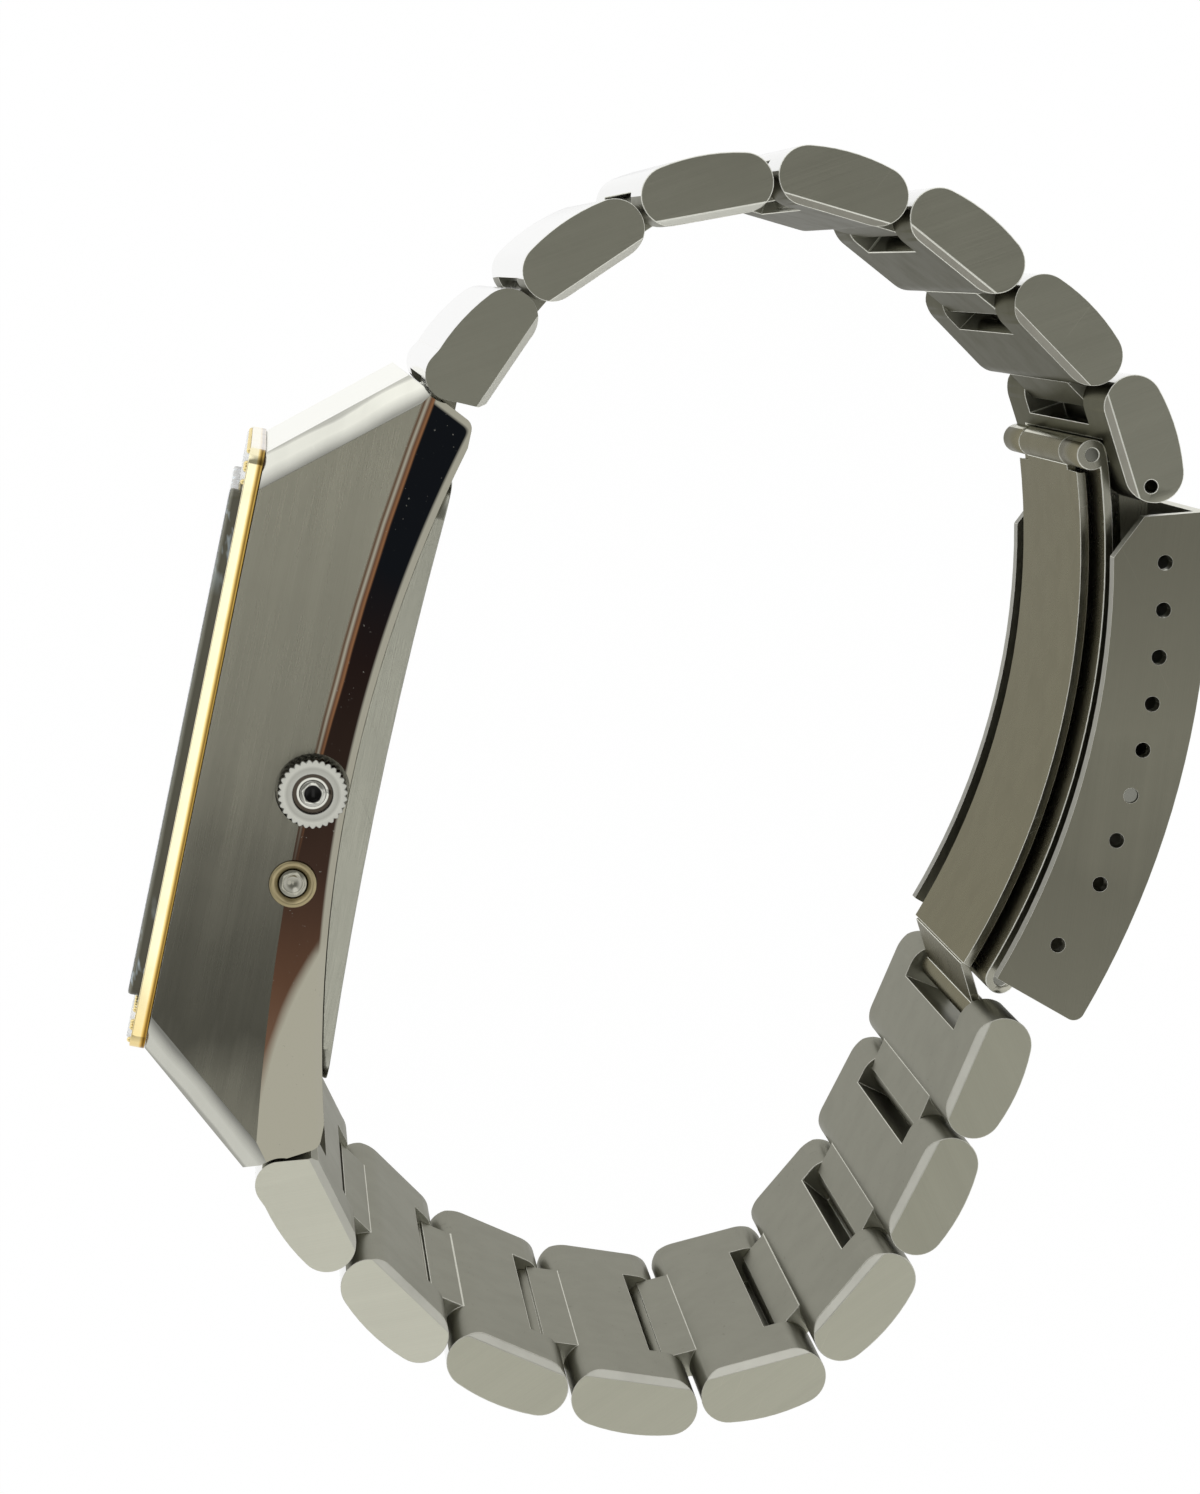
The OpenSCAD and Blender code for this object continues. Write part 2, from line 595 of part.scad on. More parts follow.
module winding_stem() color(POLISHED) in_case() translate([crown_u, 0, 0]) difference() {
    translate([0, 0, stem_low]) cylinder(r = stem_r, h = crown_low + 0.6 * crown_h - 0.1 - stem_low);
    // Groove in which the setting yoke rides
    translate([0, 0, stem_low + 0.7]) difference() {
        cylinder(r = 2, h = 0.5);
        translate([0, 0, -1]) cylinder(r = stem_r - 0.15, h = 3);
    }
}

module setting_yoke() color(POLISHED) in_case() difference() {
    block(crown_u - 1.4, crown_u + 1.4, -0.75, 0.75, 40);
    translate([0, 0, -50 + stem_low + 0.75]) cube([100, 100, 100], center = true);
    translate([0, 0, 50 + stem_low + 1.15]) cube([100, 100, 100], center = true);
    translate([crown_u, 0, 0]) cylinder(r = stem_r - 0.15 + run_fit, h = 40);
    block(crown_u - stem_r + 0.15 - run_fit, crown_u + stem_r - 0.15 + run_fit, -2, 0, 40);
}

module crown_tube() color(POLISHED) in_case() translate([crown_u, 0, cavity_w / 2]) difference() {
    cylinder(r = tube_r, h = case_w / 2 - crown_seat - cavity_w / 2 - 0.02);
    translate([0, 0, -1]) cylinder(r = stem_r + run_fit, h = 20);
}

// Corrector: sleeve set flush in the case side, sprung button inside it
module corrector_sleeve() color(BRASS) in_case() translate([corrector_u, 0, case_w / 2 - sleeve_deep]) difference() {
    cylinder(r = sleeve_r, h = sleeve_deep + sleeve_proud);
    translate([0, 0, -sleeve_deep]) cylinder(r = button_r + run_fit, h = 4 * sleeve_deep);
    translate([0, 0, sleeve_deep + sleeve_proud - sleeve_mouth])
        cylinder(r1 = button_r + run_fit, r2 = button_r + sleeve_mouth, h = sleeve_mouth + 0.01);
}

sleeve_mouth = 0.3;
flange_t = 0.25;
button_low = case_w / 2 - sleeve_deep - run_fit - flange_t;   // underside of the button's flange

button_sunk = 0.1;
push_in = 0.2;
dimple_r = 0.65;

module corrector_button() color(POLISHED) in_case() translate([corrector_u, 0, 0]) difference() {
    union() {
        translate([0, 0, button_low]) cylinder(r = button_r, h = case_w / 2 - button_low - button_sunk);
        translate([0, 0, button_low]) cylinder(r = spring_r, h = flange_t);
        translate([0, 0, cavity_w / 2 - push_in]) cylinder(r = push_r, h = button_low + flange_t - cavity_w / 2 + push_in);
    }
    translate([0, 0, case_w / 2 - button_sunk + 0.7 * dimple_r]) sphere(r = dimple_r);
}

// Coil of the corrector's spring: a tube swept along a helix
spring_wire = 0.08;
spring_turns = 4;
spring_low = cavity_w / 2 + 0.05;
module corrector_spring() color(POLISHED) in_case() translate([corrector_u, 0, spring_low + spring_wire]) {
    steps = spring_turns * 12;
    rise = button_low - spring_low - 2 * spring_wire - 0.02;
    mean_r = spring_r - spring_wire - 0.02;
    points = [for (i = [0:steps], k = [0:5])
        let (a = 360 * i / 12, c = 60 * k)
        [(mean_r + spring_wire * cos(c)) * cos(a), (mean_r + spring_wire * cos(c)) * sin(a),
         rise * i / steps + spring_wire * sin(c)]];
    sides = [for (i = [0:steps - 1], k = [0:5])
        let (p = 6 * i + k, q = 6 * i + (k + 1) % 6) each [[p, p + 6, q], [q, p + 6, q + 6]]];
    ends = [for (k = [1:4]) each [[0, k, k + 1], [6 * steps, 6 * steps + k + 1, 6 * steps + k]]];
    polyhedron(points, concat(sides, ends), convexity = 6);
}

// Links
module swell(at) {
    // Bowed outer face between the two end roundings that start at [at]
    lean = [face_c / 2, -swell_drop] / norm([face_c / 2, swell_drop]);
    translate(at) intersection() {
        translate([face_c / 2, -swell_drop]) circle(swell_r, $fn = 256);
        polygon([[0, 0], -3 * end_r * lean, [face_c, 0] + 3 * end_r * [lean.x, -lean.y], [face_c, 0]]);
    }
}

module link_face() {
    at = [face_in, hinge_drop];
    for (x = [0, face_c]) translate([at.x + x, at.y]) circle(end_r);
    translate([at.x, at.y - end_r]) square([face_c, end_r]);
    swell(at);
}

corner_cut = 0.25;                          // chamfer of the flat end's corner at the wrist
first_deep = 0.5;                           // how much deeper a first link is at the case
flat_nose = polar(first_r, 180 + flat_skew);
flat_corner = flat_nose + (flat_nose.y + first_rise + end_r + first_deep) / cos(flat_skew)
              * [sin(flat_skew), -cos(flat_skew)];
first_slant = atan(first_deep / (first_reach - flat_corner.x));

module first_face() {
    // Side face of a link beside the case, with its flat skewed end
    at = [first_reach - face_c, -first_rise];
    translate([first_reach, -first_rise]) circle(end_r);
    circle(first_r);
    polygon([flat_nose, flat_corner + corner_cut * [-sin(flat_skew), cos(flat_skew)],
             flat_corner + corner_cut * turn(first_slant, [1, 0]),
             [first_reach, -first_rise - end_r], [first_reach, -first_rise],
             [at.x + 0.4, first_r - 0.02], [0, first_r]]);
    intersection() {
        swell(at);
        translate([0, -4]) square([20, 8]);
    }
}

module tongue(x) {
    // Neck and knuckle that enter the next link's pocket, hinged at x
    translate([x, 0]) circle(knuckle_r);
    translate([x - 2.4, -neck_in]) square([2.4, neck_in + neck_out]);
}

module inner_edges(y, x0, x1)
    for (z = [-1, 1]) translate([(x0 + x1) / 2, y, z * link_w / 2]) rotate([45, 0, 0])
        cube([x1 - x0 + 8, inner_bevel * sqrt(2), inner_bevel * sqrt(2)], center = true);

module pocket(at, to_end, top) {
    // Recess open to the wrist and to the end; to_end is 1 or -1
    w = tongue_w + 2 * side_fit;
    translate([at.x, at.y, 0]) mirror([to_end > 0 ? 1 : 0, 0, 0])
        translate([-5, -5, -w / 2]) cube([5 + pocket_end, 5 + top, w]);
}

module pin_bore(at, blind = true)
    translate([at.x, at.y, -link_w]) cylinder(r = pin_r, h = blind ? 1.5 * link_w - pin_blind : 3 * link_w);

FORK = 9;   // pocket height that leaves an end open on both faces

module standard_link(open_end = false) difference() {
    union() {
        through(link_w) link_face();
        through(tongue_w) tongue(pitch);
    }
    inner_edges(hinge_drop - end_r, 0, link_len);
    pocket([0, 0], -1, open_end ? FORK : pocket_top);
    pin_bore([0, 0]);
    translate([pitch, 0]) cylinder(r = pin_r + pin_fit, h = link_w, center = true);
}

// Groove in the last link's inner side in which the blades' upper knuckle nests
knuckle_nest = 0.15;

module last_link_12() difference() {
    nest = turn(-aim12(7), clasp_xy(top_hinge_r, top_hinge_a) - at12(7));
    through(link_w) link_face();
    inner_edges(hinge_drop - end_r, 0, link_len);
    pocket([0, 0], -1, pocket_top);
    pin_bore([0, 0]);
    pocket(end_hole, 1, FORK);
    pin_bore(end_hole, false);
    translate(nest) through(blade_w + 2 * side_fit) circle(curl_r + knuckle_nest);
}

module first_link(with_tongue) difference() {
    mid = -first_rise;
    union() {
        through(link_w) first_face();
        if (with_tongue) through(tongue_w) translate([0, mid - hinge_drop]) tongue(first_next);
    }
    translate([first_reach, mid - end_r]) rotate(first_slant) inner_edges(0, -first_reach, 0);
    pocket([0, 0], -1, pocket_top);
    pin_bore([0, 0]);
    if (with_tongue)
        translate([first_next, mid - hinge_drop]) cylinder(r = pin_r + pin_fit, h = link_w, center = true);
    else {
        pocket([first_pocket, mid - hinge_drop], 1, pocket_top);
        pin_bore([first_pocket, mid - hinge_drop]);
    }
}

module link12(i) color(STEEL) in_loop(at12(i), aim12(i))
    if (i == 1) first_link(true);
    else if (i == 7) last_link_12();
    else standard_link();

// On the 6 o'clock side each pocket faces the clasp, as all around the loop
module link6(i) color(STEEL)
    if (i == 1) in_loop(hinge6, aim6(1)) mirror([0, 1, 0]) first_link(false);
    else in_loop(at6(i), aim6(i) + 180) standard_link(i == 8);

module hinge_pin() {
    low = -link_w / 2 + 0.3;
    translate([0, 0, low]) cylinder(r = pin_r, h = link_w / 2 - pin_blind - 0.1 - low);
}

module pin12(i) color(POLISHED) in_loop(at12(i), 0) hinge_pin();
module pin6(i) color(POLISHED) in_loop(at6(i - 1), 0) hinge_pin();

// Clasp
module sector(r0, r1, a0, a1) {
    // Ring sector between two radii, from angle a0 down to a1
    difference() {
        circle(r1, $fn = 360);
        circle(r0, $fn = 360);
        rotate(a0) translate([-2 * r1, 0]) square([4 * r1, 2 * r1]);
        rotate(a1) translate([-2 * r1, -2 * r1]) square([4 * r1, 2 * r1]);
    }
}

cover_chamfer = 1.25;
cover_corner = 0.6;                         // rounding of the cover's lower outer corner

module cover_wall_outline() difference() {
    sector(cover_in_r, cover_out_r, cover_top_a, cover_low_a);
    // Chamfer at the top inner corner
    at_hinge(cover_in_r, cover_top_a) rotate(cover_top_a + 49)
        translate([-3 * cover_chamfer, -cover_chamfer]) square([6 * cover_chamfer, 2 * cover_chamfer]);
    // Rounded lower outer corner
    at_hinge(cover_out_r, cover_low_a) rotate(cover_low_a) difference() {
        translate([-cover_corner, -cover_corner]) square(2 * cover_corner);
        translate([-cover_corner, cover_corner]) circle(cover_corner);
    }
}

spare_in = 0.7;                             // spare hole inside the hole row
spare_up = 3.15;                            // spare hole above the cover's lower end

function hole_angle(i) = hole_a1 - i * adjust_pitch * deg;

module adjust_holes(r) {
    for (i = [0:adjust_count - 1]) at_hinge(clasp_r, hole_angle(i)) cylinder(r = r, h = 2 * link_w, center = true);
    at_hinge(clasp_r - spare_in, cover_low_a + spare_up * deg) cylinder(r = r, h = 2 * link_w, center = true);
}

tab_w = 7;

module clasp_cover() color(STEEL) in_clasp() difference() {
    union() {
        for (s = [-1, 1]) translate([0, 0, s * (link_w - cover_wall) / 2]) through(cover_wall) cover_wall_outline();
        through(link_w) intersection() {
            cover_wall_outline();
            sector(cover_out_r - cover_t, cover_out_r + 1, cover_top_a + 1, cover_low_a - 1);
        }
        through(tab_w) {
            at_hinge(low_hinge_r, low_hinge_a) circle(curl_r);
            sector(low_hinge_r, cover_out_r - 0.1, cover_low_a + 1.4, cover_low_a + 0.2);
        }
    }
    adjust_holes(adjust_d / 2);
    at_hinge(low_hinge_r, low_hinge_a) cylinder(r = pin_r + pin_fit, h = 10, center = true);
}

bar_r = 0.6;
end_piece_r = 1;

module clasp_end_piece() color(STEEL_DARK) in_clasp() difference() {
    through(tongue_w) {
        at_hinge(clasp_r - pin_in, 0) circle(knuckle_r);
        at_hinge(clasp_r, bar_a) circle(end_piece_r);
        sector(clasp_r - pin_in - 0.5, clasp_r + 0.4, -0.2, bar_a);
    }
    at_hinge(clasp_r - pin_in, 0) cylinder(r = pin_r + pin_fit, h = 40, center = true);
    at_hinge(clasp_r, bar_a) cylinder(r = bar_r + seat_fit, h = 40, center = true);
}

module clasp_spring_bar() color(POLISHED) in_clasp() at_hinge(clasp_r, bar_a) {
    cylinder(r = bar_r, h = link_w - 2 * cover_wall - 2 * side_fit, center = true);
    cylinder(r = adjust_d / 2 - seat_fit, h = link_w - 0.3, center = true);
}

end_pin_deep = 2;                           // clasp pin's ends below the link's side faces

module clasp_end_pin() color(POLISHED) in_loop(clasp_at, 0)
    cylinder(r = pin_r, h = link_w - 2 * end_pin_deep, center = true);

module side_curls(r, a, w) difference() {
    through(blade_w) at_hinge(r, a) circle(curl_r);
    through(w + 2 * side_fit) at_hinge(r, a) circle(2 * curl_r);
}

module fold_blade_outer() color(POLISHED) in_clasp() difference() {
    union() {
        difference() {
            through(blade_w) sector(blade1_r, blade1_r + blade_t, top_hinge_a, low_hinge_a);
            through(tab_w + 2 * side_fit) at_hinge(low_hinge_r, low_hinge_a) circle(curl_r + 0.25);
            through(inner_curl_w + 2 * side_fit) at_hinge(top_hinge_r, top_hinge_a) circle(curl_r + 0.25);
        }
        side_curls(low_hinge_r, low_hinge_a, tab_w);
        side_curls(top_hinge_r, top_hinge_a, inner_curl_w);
    }
    at_hinge(low_hinge_r, low_hinge_a) cylinder(r = pin_r, h = 60, center = true);
    at_hinge(top_hinge_r, top_hinge_a) cylinder(r = pin_r, h = 60, center = true);
}

inner_curl_w = 9;
inner_blade_w = 13;
tail_w = tongue_w - 1;

module fold_blade_inner() color(POLISHED) in_clasp() difference() {
    bend_a = low_hinge_a - 0.6;
    bend_at = polar(blade2_r + blade_t / 2, bend_a);
    tail_mid = polar(tail_r, tail_a);
    run = tail_mid - bend_at;
    union() {
        difference() {
            through(inner_blade_w) sector(blade2_r, blade2_r + blade_t, top_hinge_a, bend_a);
            // Relief beside the centre curl for the outer blade's curls
            for (s = [-1, 1]) translate([0, 0, s * (inner_curl_w / 2 + 10)]) through(20)
                at_hinge(top_hinge_r, top_hinge_a) circle(curl_r + 0.25);
        }
        through(inner_curl_w) at_hinge(top_hinge_r, top_hinge_a) circle(curl_r);
        through(tongue_w - 0.1) translate(tail_mid) circle(pin_r);
        through(tail_w) {
            translate(bend_at) rotate(heading(run)) translate([-0.1, -blade_t / 2]) square([norm(run), blade_t]);
            translate(tail_mid) circle(tail_curl);
        }
    }
    at_hinge(top_hinge_r, top_hinge_a) cylinder(r = pin_r + pin_fit, h = 60, center = true);
}

module cover_hinge_pin() color(POLISHED) in_clasp() at_hinge(low_hinge_r, low_hinge_a)
    cylinder(r = pin_r, h = blade_w - 0.1, center = true);

module blade_hinge_pin() color(POLISHED) in_clasp() at_hinge(top_hinge_r, top_hinge_a)
    cylinder(r = pin_r, h = blade_w - 0.1, center = true);

case_middle();
bezel();
bezel_stones();
crystal();
crystal_gasket();
dial();
movement_holder();
movement_plate();
circuit_board();
coil();
battery();
caseback();
caseback_gasket();
crown();
winding_stem();
setting_yoke();
crown_tube();
corrector_sleeve();
corrector_button();
corrector_spring();
hour_hand();
minute_hand();
link12(1);  // link_12_1
link12(2);  // link_12_2
link12(3);  // link_12_3
link12(4);  // link_12_4
link12(5);  // link_12_5
link12(6);  // link_12_6
link12(7);  // link_12_7
pin12(1);  // pin_12_1
pin12(2);  // pin_12_2
pin12(3);  // pin_12_3
pin12(4);  // pin_12_4
pin12(5);  // pin_12_5
pin12(6);  // pin_12_6
pin12(7);  // pin_12_7
clasp_end_pin();
link6(1);  // link_6_1
link6(2);  // link_6_2
link6(3);  // link_6_3
link6(4);  // link_6_4
link6(5);  // link_6_5
link6(6);  // link_6_6
link6(7);  // link_6_7
link6(8);  // link_6_8
pin6(1);  // pin_6_1
pin6(2);  // pin_6_2
pin6(3);  // pin_6_3
pin6(4);  // pin_6_4
pin6(5);  // pin_6_5
pin6(6);  // pin_6_6
pin6(7);  // pin_6_7
pin6(8);  // pin_6_8
clasp_cover();
clasp_end_piece();
clasp_spring_bar();
fold_blade_outer();
fold_blade_inner();
cover_hinge_pin();
blade_hinge_pin();
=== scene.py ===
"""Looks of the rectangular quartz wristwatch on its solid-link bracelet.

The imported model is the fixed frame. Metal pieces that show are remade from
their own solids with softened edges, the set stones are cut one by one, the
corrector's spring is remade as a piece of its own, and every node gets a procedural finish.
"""

from __future__ import annotations

import logging
import math
from dataclasses import dataclass
from enum import Enum
from typing import Any, Sequence

import bmesh
import bpy
from mathutils import Matrix, Vector

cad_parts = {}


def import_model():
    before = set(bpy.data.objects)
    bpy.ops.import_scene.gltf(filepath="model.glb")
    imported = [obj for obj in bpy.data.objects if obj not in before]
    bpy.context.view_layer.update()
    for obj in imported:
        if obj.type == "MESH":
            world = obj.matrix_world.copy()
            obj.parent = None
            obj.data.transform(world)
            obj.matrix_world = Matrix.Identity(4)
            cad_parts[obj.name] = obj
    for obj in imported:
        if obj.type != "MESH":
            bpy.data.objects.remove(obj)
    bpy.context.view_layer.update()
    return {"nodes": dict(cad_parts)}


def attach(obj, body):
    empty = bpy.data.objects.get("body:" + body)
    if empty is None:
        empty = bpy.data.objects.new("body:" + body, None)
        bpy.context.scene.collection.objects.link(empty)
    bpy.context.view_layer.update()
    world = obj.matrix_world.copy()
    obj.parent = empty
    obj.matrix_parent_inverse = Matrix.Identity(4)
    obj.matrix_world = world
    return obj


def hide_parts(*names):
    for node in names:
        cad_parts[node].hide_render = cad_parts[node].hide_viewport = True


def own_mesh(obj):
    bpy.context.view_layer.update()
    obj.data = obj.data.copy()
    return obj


LOG = logging.getLogger("watch")
MM = 0.001
Vec3 = tuple[float, float, float]
Colour = tuple[float, float, float]
Stops = Sequence[tuple[float, Colour]]
Shares = Sequence[tuple[float, float]]

# Lengths in the finishes are in millimetres. Every hinge turns about Z, and the
# watch head lies turned by CASE_DEG about it, with its middle at CASE_MID.
MM_PER_M = 1000.0
HINGES: Vec3 = (0.0, 0.0, 1.0)
CASE_DEG = 78.5
CASE_TILT = math.radians(CASE_DEG)
CASE_MID = Vector((-18.171, 1.756, 11.5))
CASE_UP = Vector((math.cos(CASE_TILT), math.sin(CASE_TILT), 0.0))
CASE_OUT = Vector((-math.sin(CASE_TILT), math.cos(CASE_TILT), 0.0))

# Cleaning of a solid's mesh before its edges are rounded, in metres and degrees.
WELD = 2e-6
SLIVER = 1e-6
FLAT_DEG = 0.25
CORNER_DEG = 7.0

WHITE: Colour = (1.0, 1.0, 1.0)


class Value:
    """A node socket on which Python expressions add Math nodes."""

    def __init__(self, sheet: "Sheet", socket: Any) -> None:
        """Wraps one output socket.

        Args:
            sheet: The material sheet that owns the node.
            socket: The output socket, or a plain number.
        """
        self.sheet = sheet
        self.socket = socket

    def apply(self, operation: str, *others: Any) -> "Value":
        """Adds one Math node on this value and the others.

        Args:
            operation: Blender's name of the operation.
            others: Further values, sockets or numbers.

        Returns:
            The node's result.
        """
        inputs = dict(enumerate((self, *others)))
        return self.sheet.node("ShaderNodeMath", {"operation": operation}, inputs)

    def __add__(self, other: Any) -> "Value":
        """Sum."""
        return self.apply("ADD", other)

    __radd__ = __add__

    def __sub__(self, other: Any) -> "Value":
        """Difference."""
        return self.apply("SUBTRACT", other)

    def __rsub__(self, other: Any) -> "Value":
        """Difference from a number."""
        return (self * -1.0) + other

    def __mul__(self, other: Any) -> "Value":
        """Product."""
        return self.apply("MULTIPLY", other)

    def __truediv__(self, other: Any) -> "Value":
        """Quotient."""
        return self.apply("DIVIDE", other)

    def clamped(self) -> "Value":
        """The value held between 0 and 1."""
        return self.apply("MINIMUM", 1.0).apply("MAXIMUM", 0.0)

    def span(self, low: float, high: float) -> "Value":
        """Maps low..high to 0..1, clamped.

        Args:
            low: Value that becomes 0.
            high: Value that becomes 1.

        Returns:
            The mapped value.
        """
        return ((self - low) * (1.0 / (high - low))).clamped()


class Sheet:
    """One material and the nodes laid out on it."""

    def __init__(self, name: str) -> None:
        """Makes an empty node material.

        Args:
            name: Name of the material.
        """
        self.material = bpy.data.materials.new(name)
        self.material.use_nodes = True
        self.tree = self.material.node_tree
        self.tree.nodes.clear()
        self.output = self.tree.nodes.new("ShaderNodeOutputMaterial")

    @classmethod
    def for_world(cls, name: str) -> "Sheet":
        """Makes the scene's world and an empty sheet for it.

        Args:
            name: Name of the world.

        Returns:
            The sheet.
        """
        sheet = cls.__new__(cls)
        world = bpy.data.worlds.new(name)
        world.use_nodes = True
        bpy.context.scene.world = world
        sheet.tree = world.node_tree
        sheet.tree.nodes.clear()
        sheet.output = sheet.tree.nodes.new("ShaderNodeOutputWorld")
        return sheet

    def along(self, where: Value, way: Vec3) -> Value:
        """Share of a vector along a direction."""
        return self.vector("DOT_PRODUCT", where, way, out="Value")

    def vector(self, operation: str, *parts: Any, out: Any = 0) -> Value:
        """Adds one Vector Math node.

        Args:
            operation: Blender's name of the operation.
            parts: Its vectors, as values or as three numbers.
            out: Name or index of the output to return.

        Returns:
            The node's result.
        """
        inputs = dict(enumerate(parts))
        return self.node("ShaderNodeVectorMath", {"operation": operation}, inputs, out)

    def node(self, kind: str, settings: dict[str, Any] | None = None,
             inputs: dict[Any, Any] | None = None, out: Any = 0) -> Value:
        """Adds one node.

        Args:
            kind: Blender's node type.
            settings: Properties to set first; "stops" fills a colour ramp.
            inputs: Socket name or index to a value, a socket or a number.
            out: Name or index of the output to return.

        Returns:
            The chosen output.
        """
        made = self.tree.nodes.new(kind)
        for key, value in (settings or {}).items():
            if key == "stops":
                ramp = made.color_ramp
                while len(ramp.elements) < len(value):
                    ramp.elements.new(0.5)
                for stop, (place, colour) in zip(ramp.elements, value):
                    stop.position = place
                    stop.color = (*colour, 1.0)
            else:
                setattr(made, key, value)
        for key, value in (inputs or {}).items():
            socket = made.inputs[key]
            if isinstance(value, Value):
                self.tree.links.new(value.socket, socket)
            elif isinstance(value, tuple) and len(value) == 3 and len(socket.default_value) == 4:
                socket.default_value = (*value, 1.0)
            else:
                socket.default_value = value
        return Value(self, made.outputs[out])

    def place(self, turn: float = 0.0, scale: Vec3 = (1.0, 1.0, 1.0)) -> Value:
        """Object coordinates in millimetres, turned about the hinge direction.

        Args:
            turn: Turn about Z in degrees.
            scale: Stretch along each turned axis.

        Returns:
            The coordinates.
        """
        where = self.node("ShaderNodeTexCoord", out="Object")
        turned = self.node("ShaderNodeMapping", {"vector_type": "TEXTURE"},
                           {"Vector": where, "Rotation": (0.0, 0.0, math.radians(turn))})
        return self.vector("MULTIPLY", turned, tuple(MM_PER_M * part for part in scale))

    def in_case(self) -> tuple[Value, Value, Value]:
        """Finds the place on the watch head.

        Returns:
            Distances along its length, out from the wrist and along the hinges.
        """
        where = self.place()
        return (self.along(where, tuple(CASE_UP)) - CASE_MID.dot(CASE_UP),
                self.along(where, tuple(CASE_OUT)) - CASE_MID.dot(CASE_OUT),
                self.along(where, HINGES))

    def noise(self, where: Value, scale: float, detail: float = 2.0, rough: float = 0.5) -> Value:
        """Noise texture factor at a place."""
        return self.node("ShaderNodeTexNoise", None,
                         {"Vector": where, "Scale": scale, "Detail": detail, "Roughness": rough})

    def blend(self, share: Any, first: Any, second: Any) -> Value:
        """Mixes two colours.

        Args:
            share: 0 for the first colour, 1 for the second.
            first: Colour or socket.
            second: Colour or socket.

        Returns:
            The mixed colour.
        """
        return self.node("ShaderNodeMix", {"data_type": "RGBA"},
                         {0: share, 6: first, 7: second}, out=2)

    def ramp(self, where: Value, stops: Stops) -> Value:
        """Colour that changes along a value.

        Args:
            where: The value.
            stops: Rising values with their colours.

        Returns:
            The colour at the value.
        """
        first, last = stops[0][0], stops[-1][0]
        placed = [((at - first) / (last - first), colour) for at, colour in stops]
        return self.node("ShaderNodeValToRGB", {"stops": placed}, {"Fac": where.span(first, last)})

    def greys(self, where: Value, stops: Shares) -> Value:
        """Grey that changes along a value, from stops that give shares of white."""
        return self.ramp(where, [(at, (share, share, share)) for at, share in stops])

    def tinted(self, colour: Value, tint: Value) -> Value:
        """Product of two colours."""
        return self.node("ShaderNodeMix", {"data_type": "RGBA", "blend_type": "MULTIPLY"},
                         {0: 1.0, 6: colour, 7: tint}, out=2)

    def bump(self, height: Value, strength: float, distance: float) -> Value:
        """Bump from a height, with its distance in millimetres."""
        return self.node("ShaderNodeBump", None,
                         {"Height": height, "Strength": strength, "Distance": distance * MM})

    def surface(self, inputs: dict[str, Any]) -> bpy.types.Material:
        """Ends the sheet with a Principled shader.

        Args:
            inputs: Socket values of the shader.

        Returns:
            The finished material.
        """
        shader = self.node("ShaderNodeBsdfPrincipled", None, inputs)
        self.tree.links.new(shader.socket, self.output.inputs["Surface"])
        return self.material


def unit(x: float, y: float, z: float) -> Vec3:
    """The direction (x, y, z) with length 1."""
    return tuple(Vector((x, y, z)).normalized())


def toned(colour: Colour, share: float) -> Colour:
    """The colour times a share, held at white."""
    return tuple(min(1.0, share * part) for part in colour)


@dataclass(frozen=True)
class BrushedSteel:
    """Steel with fine straight polishing lines, and optional painted shade and light.

    Attributes:
        name: Name of the material.
        colour: Mean colour.
        rough: Mean roughness.
        lines: How strongly the lines change the colour.
        turn: Turn of the lines about the hinge direction, in degrees.
        painted_shading_way: Direction of the painted shade and light.
        drift: Places along that direction with their share of the colour, painted shade and light.
        painted_highlight_band: Heights along the hinges with their share of the colour, a painted
            highlight band with painted shade at its borders.
    """

    name: str
    colour: Colour
    rough: float = 0.34
    lines: float = 0.10
    turn: float = 0.0
    painted_shading_way: Vec3 = (0.0, 1.0, 0.0)
    drift: Shares = ()
    painted_highlight_band: Shares = ()

    def make(self) -> bpy.types.Material:
        """Builds the material: lines in colour, roughness and bump, and a few scratches."""
        s = Sheet(self.name)
        fine = s.noise(s.place(self.turn, (0.05, 6.0, 1.0)), 3.0, 3.0, 0.6)
        broad = s.noise(s.place(self.turn, (0.03, 1.2, 0.5)), 1.0, 2.0)
        haze = s.noise(s.place(), 0.22, 2.0)
        scratch = s.noise(s.place(self.turn + 33.0, (0.12, 9.0, 2.0)), 1.0, 1.0).span(0.73, 0.78)
        tone = ((fine - 0.5) * self.lines * 2.2 + (broad - 0.5) * self.lines * 1.5
                + (haze - 0.5) * 0.10)
        colour = s.blend((tone + 0.5 + scratch * 0.12).clamped(),
                         toned(self.colour, 0.62), toned(self.colour, 1.32))
        # Painted shade and light along one direction, then a painted highlight band across the
        # hinges with painted shade at its borders.
        if self.drift:
            place = s.along(s.place(), self.painted_shading_way) + (haze - 0.5) * 6.0 + (broad - 0.5) * 5.0
            colour = s.tinted(colour, s.greys(place, self.drift))
        if self.painted_highlight_band:
            place = s.along(s.place(), HINGES) + (haze - 0.5) * 0.3
            colour = s.tinted(colour, s.greys(place, self.painted_highlight_band))
        return s.surface({
            "Base Color": colour, "Metallic": 1.0,
            "Roughness": (self.rough + (fine - 0.5) * 0.22 + (haze - 0.5) * 0.10).clamped(),
            "Normal": s.bump(fine + broad * 0.5 - scratch * 0.4, 0.35, 0.010)})


